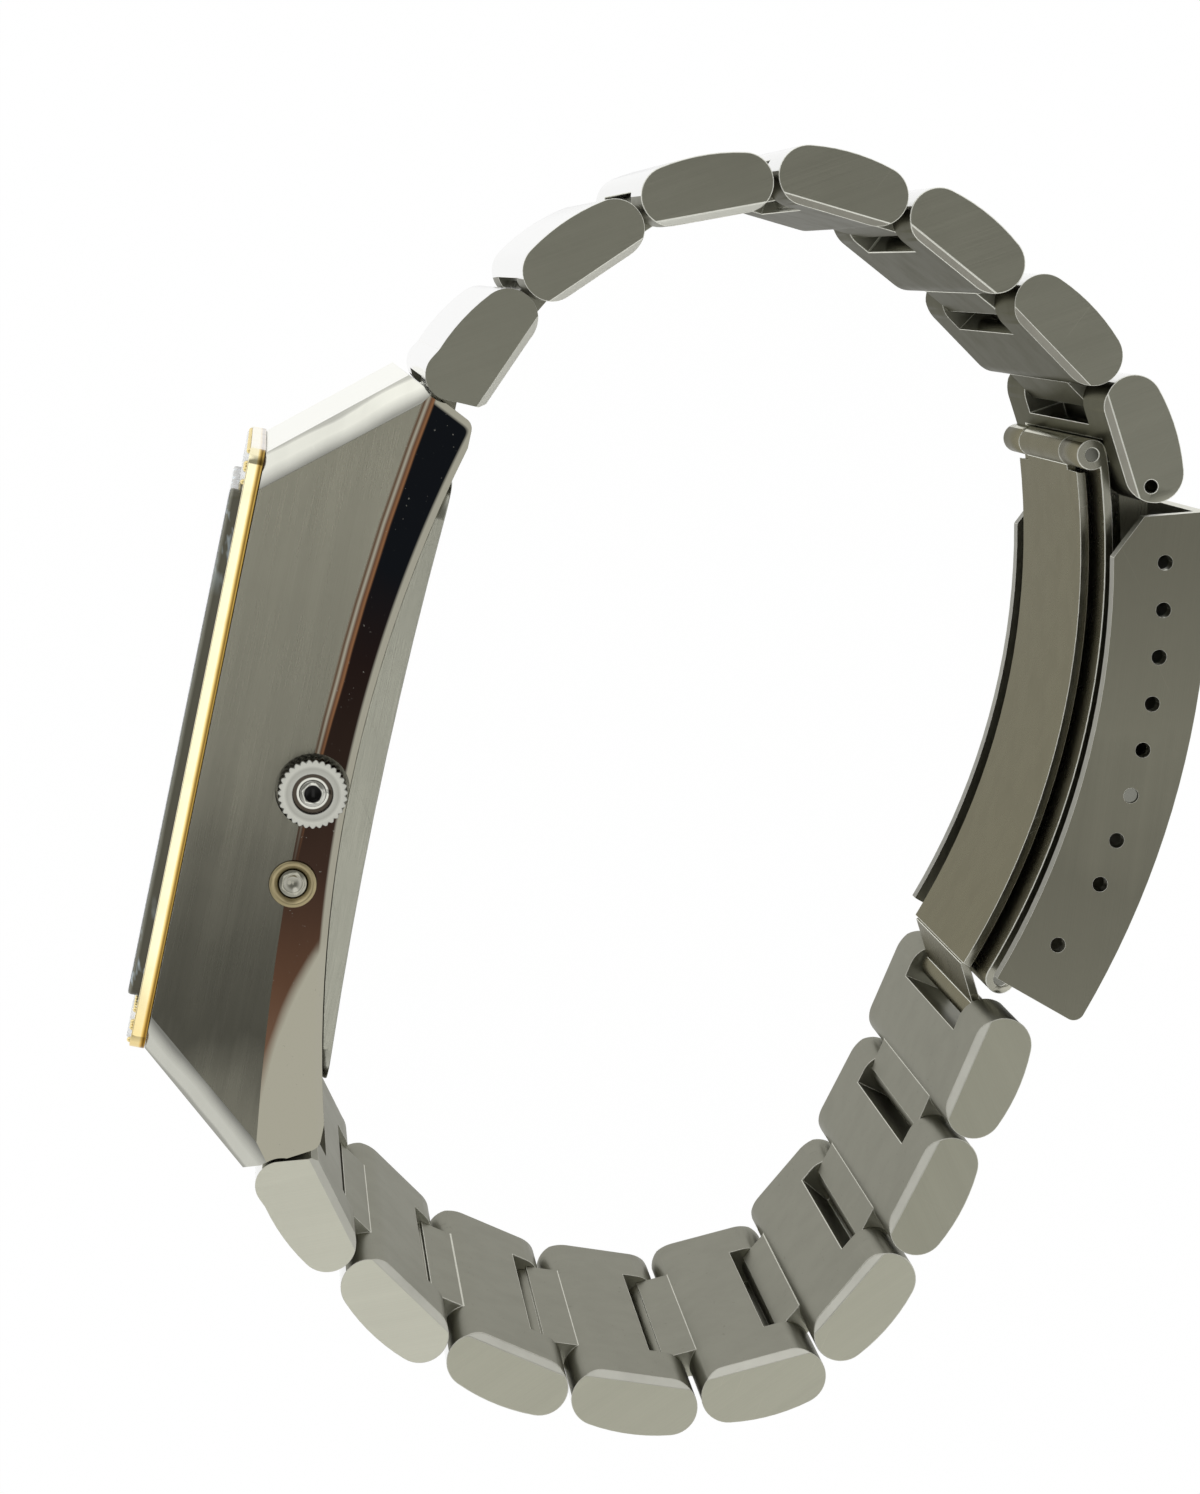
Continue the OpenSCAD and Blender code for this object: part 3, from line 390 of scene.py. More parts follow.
@dataclass(frozen=True)
class PolishedMetal:
    """Mirror-polished metal with faint wear and a little haze.

    Attributes:
        name: Name of the material.
        colour: Mean colour.
        rough: Roughness of the clean metal.
        wear: Roughness that the smudges add.
        glance: Share of light left at a grazing view; below 1 it paints shade on metal that lies in
            its own shade.
    """

    name: str
    colour: Colour
    rough: float = 0.09
    wear: float = 0.06
    glance: float = 1.0

    def make(self) -> bpy.types.Material:
        """Builds the material: smudged roughness, soft waves and hairline scratches."""
        s = Sheet(self.name)
        smudge = s.noise(s.place(), 0.5, 4.0, 0.6)
        wave = s.noise(s.place(), 0.18, 1.0)
        hair = s.noise(s.place(27.0, (0.25, 12.0, 2.0)), 1.0, 2.0).span(0.68, 0.76)
        worn = (smudge.span(0.35, 0.7) * (self.wear * 6.0) + hair * 0.2).clamped()
        # A specular tint below 1 is painted shade on the grazing reflections.
        return s.surface({
            "Base Color": s.blend(worn, self.colour, toned(self.colour, 0.80)),
            "Metallic": 1.0, "Specular Tint": (self.glance, self.glance, 0.94 * self.glance),
            "Roughness": (self.rough + smudge.span(0.4, 0.75) * self.wear + hair * 0.10).clamped(),
            "Normal": s.bump(wave + hair * -0.03, 0.12, 0.05)})


@dataclass(frozen=True)
class Crystal:
    """Flat mineral crystal with a grey-blue tint at its edge."""

    name: str = "crystal_glass"

    def make(self) -> bpy.types.Material:
        """Builds the material: clear glass with faint dust in its roughness."""
        s = Sheet(self.name)
        dust = s.noise(s.place(), 2.4, 3.0).span(0.55, 0.8)
        colour = s.blend(dust * 0.3, (0.86, 0.90, 0.92), (0.76, 0.78, 0.80))
        return s.surface({"Base Color": colour,
                          "Roughness": (dust * 0.06 + 0.02).clamped(),
                          "Transmission Weight": 0.9, "IOR": 1.5})


@dataclass(frozen=True)
class PaintedReflectionEdge:
    """Ground edge of the crystal, dark grey as a painted reflection, with pale painted glints near
    its ends.

    Attributes:
        name: Name of the material.
        ends: Half the crystal's length.
        tones: Heights above the case's middle with their colours: dark painted reflection with a
            paler painted line at the rim.
    """

    name: str = "crystal_edge"
    ends: float = 13.3
    tones: Stops = ((6.3, (0.105, 0.10, 0.075)), (6.8, (0.085, 0.082, 0.062)),
                    (6.93, (0.20, 0.20, 0.17)), (7.05, (0.11, 0.11, 0.09)))

    def make(self) -> bpy.types.Material:
        """Builds the material: dark painted reflection, a paler painted line at the rim and short
        painted blue glints.
        """
        s = Sheet(self.name)
        run, out, _ = s.in_case()
        fine = s.noise(s.place(CASE_DEG, (0.3, 3.0, 0.6)), 1.0, 2.0)
        painted_glint = s.noise(s.place(CASE_DEG + 12.0, (0.7, 2.2, 0.5)), 1.0, 2.0).span(0.50, 0.62)
        near_end = run.apply("ABSOLUTE").span(self.ends - 5.5, self.ends - 1.0)
        smooth = s.ramp(out + (fine - 0.5) * 0.10, self.tones)
        return s.surface({"Base Color": s.blend(painted_glint * near_end, smooth, (0.50, 0.60, 0.68)),
                          "Roughness": (fine * 0.12 + 0.12).clamped(), "IOR": 1.3})


@dataclass(frozen=True)
class BezelGold:
    """Polished gold plate of the bezel, with painted shade and reflection lines in amber and brown
    along its lower edge.

    Attributes:
        name: Name of the material.
        low: Height of the bezel's foot above the case's middle.
        tones: Heights above the foot with their colours: painted shade and reflection lines low,
            pale gold above.
        end_painted_shade: Tint of the painted shade at the 6 o'clock end.
    """

    name: str = "bezel_gold"
    low: float = 5.67
    tones: Stops = (
        (0.0, (0.10, 0.055, 0.014)), (0.06, (0.50, 0.33, 0.08)), (0.13, (0.16, 0.09, 0.02)),
        (0.20, (0.42, 0.27, 0.07)), (0.27, (0.86, 0.66, 0.28)), (0.34, (0.97, 0.90, 0.62)),
        (0.78, (0.96, 0.88, 0.60)))
    end_painted_shade: Colour = (0.86, 0.74, 0.52)

    def make(self) -> bpy.types.Material:
        """Builds the material: pale gold above, painted amber and brown shade and reflection lines
        near the case, and painted shade at the 6 o'clock end.
        """
        s = Sheet(self.name)
        run, out, _ = s.in_case()
        wave = (s.noise(s.place(CASE_DEG, (0.08, 0.6, 0.3)), 1.0, 2.0) - 0.5) * 0.10
        smudge = s.noise(s.place(), 0.8, 3.0)
        tone = s.ramp(out - self.low + wave, self.tones)
        # Painted shade towards the 6 o'clock end.
        end = (run + wave * 8.0).span(-10.0, -15.4)
        colour = s.tinted(tone, s.blend(end, WHITE, self.end_painted_shade))
        return s.surface({"Base Color": colour, "Metallic": 1.0,
                          "Roughness": (smudge.span(0.4, 0.8) * 0.08 + 0.10).clamped(),
                          "Normal": s.bump(smudge, 0.10, 0.03)})


@dataclass(frozen=True)
class BevelMirror:
    """Mirror-polished lower bevel of the case, its colour a painted reflection: dark, with a
    painted highlight along its rim and painted light on its lower end.

    Attributes:
        name: Name of the material.
        wrist: Radius of the case's wrist curve.
        back: Height of that curve's crest below the case's middle.
        side: Height of the case's side plane along the hinges.
        tip: Upper corner of the leaning end wall, along the case and out from the wrist.
        heel: Lower corner of the same wall.
        pale: Colour of the painted light on the lower end.
        rim: Colour of the painted highlight along the end wall and the wrist curve.
        speck: Colour of the dust.
        tones: Places along the case with the colours of the dark painted reflection.
        lines: Shares of the way across the thin painted highlight and shade lines at the side
            plane, with their colours.
    """

    name: str = "lower_bevel_mirror"
    wrist: float = 70.0
    back: float = 1.85
    side: float = 23.0
    tip: Vec3 = (20.75, -0.5, 0.0)
    heel: Vec3 = (19.05, -4.15, 0.0)
    pale: Colour = (0.40, 0.385, 0.315)
    rim: Colour = (0.40, 0.385, 0.32)
    speck: Colour = (0.30, 0.29, 0.26)
    tones: Stops = (
        (-16.0, (0.17, 0.10, 0.065)), (-10.5, (0.10, 0.052, 0.032)), (-5.0, (0.044, 0.025, 0.018)),
        (0.0, (0.026, 0.016, 0.012)), (6.0, (0.015, 0.009, 0.008)), (11.0, (0.006, 0.007, 0.009)),
        (19.0, (0.006, 0.007, 0.009)))
    lines: Stops = (
        (0.0, (0.22, 0.20, 0.16)), (0.18, (0.10, 0.055, 0.03)), (0.38, (0.36, 0.34, 0.28)),
        (0.60, (0.12, 0.06, 0.035)), (0.82, (0.24, 0.115, 0.055)), (1.0, (0.02, 0.012, 0.01)))

    def painted_light_share(self, run: Value, out: Value, drift: Value) -> Value:
        """Share of the painted light on the lower end, which a bowed border cuts off from the dark
        painted reflection.

        Args:
            run: Place along the case.
            out: Place out from the wrist.
            drift: Noise about 0 that loosens the border.

        Returns:
            1 on the painted light, 0 on the dark painted reflection.
        """
        bow = (run + 17.0).apply("MAXIMUM", 0.0) * 0.125
        tail = (run * -1.0 - 17.4).apply("MAXIMUM", 0.0) * 2.0
        border = bow * bow * -1.4 - 0.35 + tail
        return (border - out + drift * 0.5).span(-0.22, 0.30) * (run * -1.0).span(8.0, 9.0)

    def painted_rim_highlight_share(self, run: Value, out: Value) -> Value:
        """Share of the painted rim highlight, from the distances to the end wall and to the wrist
        curve.

        Args:
            run: Place along the case.
            out: Place out from the wrist.

        Returns:
            1 at the bevel's own border, 0 inside it.
        """
        slope = (Vector(self.tip) - Vector(self.heel)).normalized()
        wall = Vector((slope.y, -slope.x, 0.0))
        near_end = (run * -wall.x + out * -wall.y) + wall.dot(Vector(self.tip))
        lift = out + (self.back + self.wrist)
        near_wrist = (run * run + lift * lift).apply("SQRT") - self.wrist
        return near_end.apply("SMOOTH_MIN", near_wrist, 0.5).span(0.42, 0.28)

    def make(self) -> bpy.types.Material:
        """Builds the painted reflection from the distances to the bevel's own borders."""
        s = Sheet(self.name)
        run, out, across = s.in_case()
        drift = s.noise(s.place(CASE_DEG, (0.15, 0.5, 0.5)), 1.0, 3.0) - 0.5
        dust = s.noise(s.place(), 5.0, 2.0).span(0.72, 0.76)
        # Painted reflection: dark tones along the case, painted light on the lower end, a painted
        # highlight on the rim and thin painted highlight and shade lines at the side plane.
        body = s.ramp(run + drift * 3.0, self.tones)
        body = s.blend(self.painted_light_share(run, out, drift), body, self.pale)
        body = s.blend(self.painted_rim_highlight_share(run, out) * 0.9, body, self.rim)
        sunk = (across * -1.0 + self.side) / (run.span(-6.0, 5.0) * 0.10 + 0.075)
        painted_line_mask = sunk.span(1.0, 0.85) * (run + drift * 4.0).span(-5.0, 4.0)
        body = s.blend(painted_line_mask, body, s.ramp(sunk, self.lines))
        return s.surface({"Base Color": s.blend(dust * 0.5, body, self.speck), "Metallic": 1.0,
                          "Roughness": (dust * 0.3 + 0.05).clamped(),
                          "Normal": s.bump(drift, 0.05, 0.05)})


@dataclass(frozen=True)
class CrownSteel:
    """Polished crown with painted shade in its sunk centre and its dish, and in the gaps between
    its teeth.

    Attributes:
        name: Name of the material.
        axis: A point on the crown's axis, which runs along the hinges.
        face: Height of the crown's outer face.
        shade: Colour of the painted shade deep between the teeth.
        tones: Distances from the axis with their colours, with painted shade in the sunk centre and
            in the dish around the raised ring.
    """

    name: str = "crown_steel"
    axis: Vec3 = (-18.30, 1.119, 0.0)
    face: float = 24.25
    shade: Colour = (0.10, 0.095, 0.08)
    tones: Stops = (
        (0.0, (0.02, 0.02, 0.02)), (0.42, (0.02, 0.02, 0.02)), (0.46, (0.60, 0.60, 0.56)),
        (0.78, (0.60, 0.60, 0.56)), (0.82, (0.06, 0.05, 0.04)), (0.99, (0.06, 0.05, 0.04)),
        (1.05, (0.38, 0.38, 0.355)), (1.30, (0.32, 0.32, 0.295)), (1.45, (0.44, 0.44, 0.41)),
        (2.0, (0.38, 0.38, 0.355)))

    def make(self) -> bpy.types.Material:
        """Builds the material from the distance to the crown's axis and to its face."""
        s = Sheet(self.name)
        flat = s.vector("MULTIPLY", s.vector("SUBTRACT", s.place(), self.axis), (1.0, 1.0, 0.0))
        reach = s.vector("LENGTH", flat, out="Value")
        depth = s.along(s.place(), (0.0, 0.0, -1.0)) + self.face
        smudge = s.noise(s.place(), 1.2, 3.0)
        # Painted shade deep in the gaps between the teeth, over the ring of colours that paints
        # shade in the sunk centre and the dish.
        painted_gap_shade = depth.span(0.05, 0.22) * reach.span(1.3, 1.4)
        colour = s.blend(painted_gap_shade, s.ramp(reach, self.tones), self.shade)
        return s.surface({"Base Color": colour, "Metallic": 1.0,
                          "Roughness": (smudge * 0.08 + 0.08).clamped(),
                          "Normal": s.bump(smudge, 0.08, 0.03)})


@dataclass(frozen=True)
class Stone:
    """Small clear cut stone."""

    name: str = "cut_stone"

    def make(self) -> bpy.types.Material:
        """Builds the material: bright glass whose tint shifts from stone to stone."""
        s = Sheet(self.name)
        shift = s.noise(s.place(), 0.9, 0.0)
        colour = s.blend(shift, (0.82, 0.86, 0.90), (0.98, 0.98, 0.96))
        return s.surface({"Base Color": colour,
                          "Roughness": (shift * 0.05 + 0.01).clamped(), "Metallic": 0.25,
                          "Transmission Weight": 0.45, "IOR": 2.1})


@dataclass(frozen=True)
class Lacquer:
    """Plastic, lacquer or rubber with a fine mottle.

    Attributes:
        name: Name of the material.
        colour: Mean colour.
        rough: Mean roughness.
        grain: Fineness of the mottle.
    """

    name: str
    colour: Colour
    rough: float = 0.5
    grain: float = 1.5

    def make(self) -> bpy.types.Material:
        """Builds the material: slight colour drift, roughness drift and a fine bump."""
        s = Sheet(self.name)
        mottle = s.noise(s.place(), self.grain, 4.0, 0.6)
        colour = s.blend(mottle, toned(self.colour, 0.78), toned(self.colour, 1.12))
        return s.surface({"Base Color": colour,
                          "Roughness": ((mottle - 0.5) * 0.25 + self.rough).clamped(),
                          "Normal": s.bump(mottle, 0.2, 0.02)})


@dataclass(frozen=True)
class DialFace:
    """Pale satin dial with gilt markers standing on it.

    Attributes:
        name: Name of the material.
        top: Height of the dial's own plane above the case's middle.
        gilt: Colour of the markers.
    """

    name: str = "dial_satin"
    top: float = 4.30
    gilt: Colour = (0.92, 0.70, 0.30)

    def make(self) -> bpy.types.Material:
        """Builds the material: fine mottle below, gilt metal above the dial's own plane."""
        s = Sheet(self.name)
        _, out, _ = s.in_case()
        mottle = s.noise(s.place(), 0.6, 4.0, 0.6)
        raised = (out - self.top).span(0.02, 0.05)
        paint = s.blend(mottle, (0.60, 0.60, 0.58), (0.80, 0.80, 0.77))
        return s.surface({"Base Color": s.blend(raised, paint, self.gilt),
                          "Metallic": (raised * 0.7 + 0.3).clamped(),
                          "Roughness": ((mottle - 0.5) * 0.2 + 0.36 - raised * 0.2).clamped(),
                          "Normal": s.bump(mottle, 0.1, 0.01)})


@dataclass(frozen=True)
class Windings:
    """Fine wire wound around a core along the hinge direction."""

    name: str = "coil_wire"
    colour: Colour = (0.66, 0.30, 0.10)

    def make(self) -> bpy.types.Material:
        """Builds the material: one thin ring per turn of wire."""
        s = Sheet(self.name)
        rings = s.node(
            "ShaderNodeTexWave", {"bands_direction": "Z"},
            {"Vector": s.place(), "Scale": 3.2, "Distortion": 0.3, "Detail": 1.0}, out="Fac")
        return s.surface({"Base Color": s.blend(rings, toned(self.colour, 0.45), self.colour),
                          "Metallic": 0.8, "Roughness": (0.5 - rings * 0.2).clamped(),
                          "Normal": s.bump(rings, 0.6, 0.03)})


class Finish(Enum):
    """Every finish of the watch."""

    # Painted shade and light: the share stops darken the case's side near one end and lighten it
    # towards the other.
    CASE = BrushedSteel(
        "case_brushed", (0.36, 0.35, 0.288), 0.30, 0.14, CASE_DEG, tuple(CASE_UP),
        ((-22.0, 0.66), (-19.3, 0.56), (-17.5, 0.42), (-14.7, 0.26), (-11.5, 0.32),
         (-7.0, 0.46), (-1.0, 0.74), (7.0, 0.86), (13.0, 1.0)))
    LOW_BEVEL = BevelMirror()
    # Painted light: the slope grows brighter towards one end, and its stops along the hinges are a
    # painted highlight band with painted shade at its borders.
    SLOPE = BrushedSteel(
        "slope_satin", (0.64, 0.64, 0.575), 0.20, 0.05, CASE_DEG, tuple(CASE_UP),
        ((-22.0, 0.98), (-14.0, 1.0), (8.0, 1.0), (15.0, 1.08), (19.0, 1.2)),
        ((22.2, 0.62), (22.29, 0.66), (22.36, 1.0), (22.62, 1.0), (22.80, 0.74), (22.98, 0.36)))
    LINK = BrushedSteel("link_brushed", (0.305, 0.302, 0.250), 0.36, 0.10, 20.0)
    # Lighter copies of the link finish: painted light, faint to strong, on the links below the case
    # and on the cover's outer walls.
    LINK_MID = BrushedSteel("link_brushed_mid", (0.39, 0.385, 0.315), 0.36, 0.10, -65.0)
    LINK_SOFT = BrushedSteel("link_brushed_soft", (0.51, 0.505, 0.42), 0.36, 0.10, 35.0)
    LINK_PALE = BrushedSteel("link_brushed_pale", (0.70, 0.695, 0.60), 0.36, 0.08, 10.0)
    # Inner walls: their grazing share below 1 paints shade on the reflections, and the darker copy
    # is painted shade on the links further from the 12 o'clock end.
    LINK_INSIDE = PolishedMetal("link_inside", (0.30, 0.295, 0.25), 0.34, 0.04, 0.6)
    LINK_INSIDE_DIM = PolishedMetal("link_inside_dim", (0.20, 0.195, 0.155), 0.30, 0.06, 0.35)
    # Painted shade and light along the cover's length.
    COVER = BrushedSteel(
        "cover_brushed", (0.265, 0.258, 0.205), 0.36, 0.09, 84.0, (0.0, 1.0, 0.0),
        ((-12.0, 0.85), (-4.0, 0.76), (4.0, 0.95), (14.0, 0.80)))
    STRAP = BrushedSteel("strap_steel", (0.32, 0.315, 0.26), 0.3, 0.08, 84.0)
    POLISH = PolishedMetal("polished_steel", (0.66, 0.66, 0.61))
    CROWN = CrownSteel()
    BUTTON = PolishedMetal("button_steel", (0.42, 0.41, 0.35), 0.16, 0.06)
    END_PLANE = PolishedMetal("end_plane_polish", (0.90, 0.90, 0.88), 0.14, 0.01)
    BACK = BrushedSteel("back_satin", (0.40, 0.40, 0.345), 0.22, 0.04, CASE_DEG)
    LINK_EDGE = PolishedMetal("link_edge_satin", (0.62, 0.615, 0.55), 0.42, 0.05)
    # A darker copy of the edge finish, painted shade, and a paler one, painted highlight on
    # chamfers and roundings.
    LINK_EDGE_DIM = PolishedMetal("link_edge_dim", (0.36, 0.35, 0.30), 0.42, 0.05)
    LINK_RIM = PolishedMetal("link_rim_pale", (0.86, 0.86, 0.79), 0.46, 0.05)
    BLADE = PolishedMetal("blade_steel", (0.50, 0.49, 0.42), 0.16, 0.08)
    # Darker copy of the blade finish: painted shade on the blades' faces towards the middle.
    BLADE_FACE = PolishedMetal("blade_face", (0.27, 0.25, 0.18), 0.26, 0.06, 0.45)
    PIN_END = PolishedMetal("pin_end_steel", (0.30, 0.30, 0.27), 0.20, 0.10)
    # Near-black steel: painted shade on the pin sunk in the clasp's end.
    SUNK_PIN = PolishedMetal("sunk_pin_steel", (0.10, 0.098, 0.085), 0.30, 0.06)
    GOLD = PolishedMetal("gold_plate", (0.95, 0.74, 0.33), 0.08, 0.05)
    BEZEL = BezelGold()
    BRASS = PolishedMetal("worn_brass", (0.46, 0.39, 0.23), 0.32, 0.08)
    PLATE = PolishedMetal("plate_brass", (0.60, 0.50, 0.30), 0.32, 0.1)
    CAN = PolishedMetal("battery_can", (0.60, 0.60, 0.58), 0.28, 0.1)
    GLASS = Crystal()
    GLASS_EDGE = PaintedReflectionEdge()
    STONE = Stone()
    GASKET = Lacquer("gasket_rubber", (0.03, 0.03, 0.035), 0.6, 2.0)
    DIAL = DialFace()
    HOLDER = Lacquer("holder_plastic", (0.74, 0.74, 0.70), 0.5)
    BOARD = Lacquer("board_lacquer", (0.03, 0.16, 0.08), 0.3)
    COIL = Windings()

    @property
    def material(self) -> bpy.types.Material:
        """The finish as a material, made on first use."""
        return bpy.data.materials.get(self.value.name) or self.value.make()


@dataclass(frozen=True)
class Zone:
    """Faces of a solid, picked by how far they lean from a direction, with their own finish.

    Attributes:
        finish: Their finish.
        low: Least lean of a face's normal from the direction, in degrees.
        high: Greatest lean.
        outward: 1 for faces that look away from the middle, -1 for those that look
            towards it and 0 for both.
        way: The direction.
    """

    finish: Finish
    low: float
    high: float
    outward: float = 0.0
    way: Vec3 = HINGES

    @classmethod
    def chamfers(cls, finish: Finish) -> "Zone":
        """Slanted faces between a side and the walls."""
        return cls(finish, 40.0, 50.0)

    @classmethod
    def walls(cls, finish: Finish, outward: float) -> "Zone":
        """Faces that stand along the hinges."""
        return cls(finish, 85.0, 90.0, outward)

    def holds(self, normal: Vector, centre: Vector) -> bool:
        """Tells whether a face belongs to the zone.

        Args:
            normal: The face's normal.
            centre: The face's middle, from the middle of the closed bracelet.

        Returns:
            Whether its lean, taken from the direction or its opposite, and its side fit.
        """
        lean = math.degrees(math.acos(min(1.0, abs(normal.dot(Vector(self.way))))))
        away = normal.x * centre.x + normal.y * centre.y
        return self.low <= lean <= self.high and (self.outward == 0.0 or away * self.outward > 0.0)


def dress(obj: bpy.types.Object, finish: Finish) -> None:
    """Puts one finish on every face of an object.

    Args:
        obj: Mesh object.
        finish: The finish.
    """
    obj.data.materials.clear()
    obj.data.materials.append(finish.material)


def piece(name: str, shape: bmesh.types.BMesh, finish: Finish, body: str,
          stands_for: Sequence[str] = (), smooth: bool = True) -> bpy.types.Object:
    """Turns a finished shape into a piece that rides on a body.

    Args:
        name: Name of the piece.
        shape: Its mesh, in metres in the model's frame.
        finish: Its finish.
        body: The body it moves with.
        stands_for: Nodes it replaces.
        smooth: Whether its faces are shaded smooth.

    Returns:
        The new object.
    """
    mesh = bpy.data.meshes.new(name)
    shape.to_mesh(mesh)
    shape.free()
    for face in mesh.polygons:
        face.use_smooth = smooth
    obj = bpy.data.objects.new(name, mesh)
    bpy.context.collection.objects.link(obj)
    dress(obj, finish)
    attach(obj, body)
    if stands_for:
        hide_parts(*stands_for)
    LOG.info("%s on %s", name, body)
    return obj


def is_corner(edge: bmesh.types.BMEdge, sheen: Any) -> bool:
    """Tells a real edge of a solid from the seam between two facets of a curved face.

    Args:
        edge: An edge with two faces.
        sheen: Corner layer that holds the solid's own normals.

    Returns:
        Whether the two faces' own normals differ along the edge.
    """
    first, second = edge.link_faces
    for vert in edge.verts:
        pair = [loop[sheen] for face in (first, second) for loop in face.loops if loop.vert == vert]
        if len(pair) == 2 and pair[0].length > 0 and pair[1].length > 0:
            if pair[0].angle(pair[1]) > math.radians(CORNER_DEG):
                return True
    return False


def softened(node: bpy.types.Object, finish: Finish, body: str, width: float,
             steps: int = 2, zones: Sequence[Zone] = (), wide: float = 1.0,
             rim: bool = False) -> bpy.types.Object:
    """Remakes a solid with its sharp edges rounded off.

    Args:
        node: The node's object.
        finish: Finish of the new piece.
        body: The body it moves with.
        width: Width of the rounding in millimetres.
        steps: Facets across the rounding.
        zones: Faces that get a finish of their own.
        wide: How many times wider the rounding is along the zones.
        rim: Whether every rounding takes the first zone's finish.

    Returns:
        The new piece, which replaces the node.
    """
    copy = node.data.copy()
    own = copy.attributes.new("own_normal", "FLOAT_VECTOR", "CORNER")
    for slot, normal in zip(own.data, copy.corner_normals):
        slot.vector = normal.vector
    shape = bmesh.new()
    shape.from_mesh(copy)
    bpy.data.meshes.remove(copy)
    bmesh.ops.remove_doubles(shape, verts=shape.verts, dist=WELD)
    bmesh.ops.dissolve_degenerate(shape, dist=SLIVER, edges=shape.edges)
    sheen = shape.loops.layers.float_vector["own_normal"]
    weight = shape.edges.layers.float.new("bevel_weight_edge")
    for edge in shape.edges:
        if edge.is_manifold and is_corner(edge, sheen):
            sides = [any(zone.holds(face.normal, face.calc_center_median()) for zone in zones)
                     for face in edge.link_faces]
            edge[weight] = 1.0 if sides[0] != sides[1] else 1.0 / wide
    bmesh.ops.dissolve_limit(shape, angle_limit=math.radians(FLAT_DEG),
                             verts=shape.verts, edges=shape.edges)
    shape.loops.layers.float_vector.remove(sheen)
    obj = piece(node.name + "_soft", shape, finish, body, (node.name,))
    for zone in zones:
        obj.data.materials.append(zone.finish.material)
    for face in obj.data.polygons:
        held = [slot for slot, zone in enumerate(zones, 1) if zone.holds(face.normal, face.center)]
        face.material_index = held[0] if held else 0
    rounding = obj.modifiers.new("rounding", "BEVEL")
    rounding.width = width * wide * MM
    rounding.segments = steps
    rounding.limit_method = "WEIGHT"
    rounding.use_clamp_overlap = True
    rounding.material = 1 if rim else -1
    even = obj.modifiers.new("even", "WEIGHTED_NORMAL")
    even.mode = "FACE_AREA"
    even.weight = 100
    return obj


def islands(shape: bmesh.types.BMesh) -> list[list[bmesh.types.BMVert]]:
    """Splits a mesh into its separate pieces.

    Args:
        shape: The mesh.

    Returns:
        The vertices of each piece, in the mesh's own order.
    """
    left, groups = dict.fromkeys(shape.verts), []
    while left:
        group, front = [], [left.popitem()[0]]
        while front:
            vert = front.pop()
            group.append(vert)
            for edge in vert.link_edges:
                other = edge.other_vert(vert)
                if other in left:
                    del left[other]
                    front.append(other)
        groups.append(group)
    return groups


@dataclass
class Stones:
    """Set stones of the bezel, cut one by one at the places of the solid ones, with their claws.

    Attributes:
        node: The solid stones.
        table: Share of a stone's radius that its flat top takes.
        girdle: Share of its height below the facets.
        claws: Claws around a stone.
        claw_mm: Radius of a claw.
        claw_reach: Distance of a claw from the stone's axis, in radii.
        claw_lift_mm: Height of a claw above the girdle.
    """

    node: Any
    table: float = 0.56
    girdle: float = 0.5
    claws: int = 4
    claw_mm: float = 0.15
    claw_reach: float = 1.02
    claw_lift_mm: float = 0.02

    def seats(self) -> list[tuple[Vector, float, float]]:
        """Finds every stone in the solid model.

        Returns:
            For each stone the middle of its foot, its radius and its height, in metres.
        """
        shape = bmesh.new()
        shape.from_mesh(self.node.data)
        bmesh.ops.remove_doubles(shape, verts=shape.verts, dist=WELD)
        found = []
        for group in islands(shape):
            middle = sum((v.co for v in group), Vector()) / len(group)
            radius = max((v.co - middle).cross(CASE_OUT).length for v in group)
            heights = [v.co.dot(CASE_OUT) for v in group]
            found.append((middle + CASE_OUT * (min(heights) - middle.dot(CASE_OUT)),
                          radius, max(heights) - min(heights)))
        shape.free()
        return found

    def build(self) -> None:
        """Cuts the stones and sets the claws at their corners."""
        turned = Matrix((CASE_UP, Vector((0, 0, -1)), CASE_OUT)).transposed().to_4x4()
        stones, claws = bmesh.new(), bmesh.new()
        for foot, radius, height in self.seats():
            waist = self.girdle * height
            spot = Matrix.Translation(foot) @ turned
            for facets, top, low, high in ((16, radius, 0.0, waist),
                                           (8, radius * self.table, waist, height)):
                bmesh.ops.create_cone(
                    stones, cap_ends=True, segments=facets, radius1=radius, radius2=top,
                    depth=high - low, matrix=spot @ Matrix.Translation((0, 0, (high + low) / 2)))
            for turn in range(self.claws):
                side = Matrix.Rotation(math.radians(45 + turn * 360 / self.claws), 4, "Z")
                claw = Vector((radius * self.claw_reach, 0, waist + self.claw_lift_mm * MM))
                bmesh.ops.create_uvsphere(
                    claws, u_segments=8, v_segments=6, radius=self.claw_mm * MM,
                    matrix=spot @ side @ Matrix.Translation(claw))
        piece("cut_stones", stones, Finish.STONE, "case", (self.node.name,), smooth=False)
        piece("stone_claws", claws, Finish.GOLD, "case")


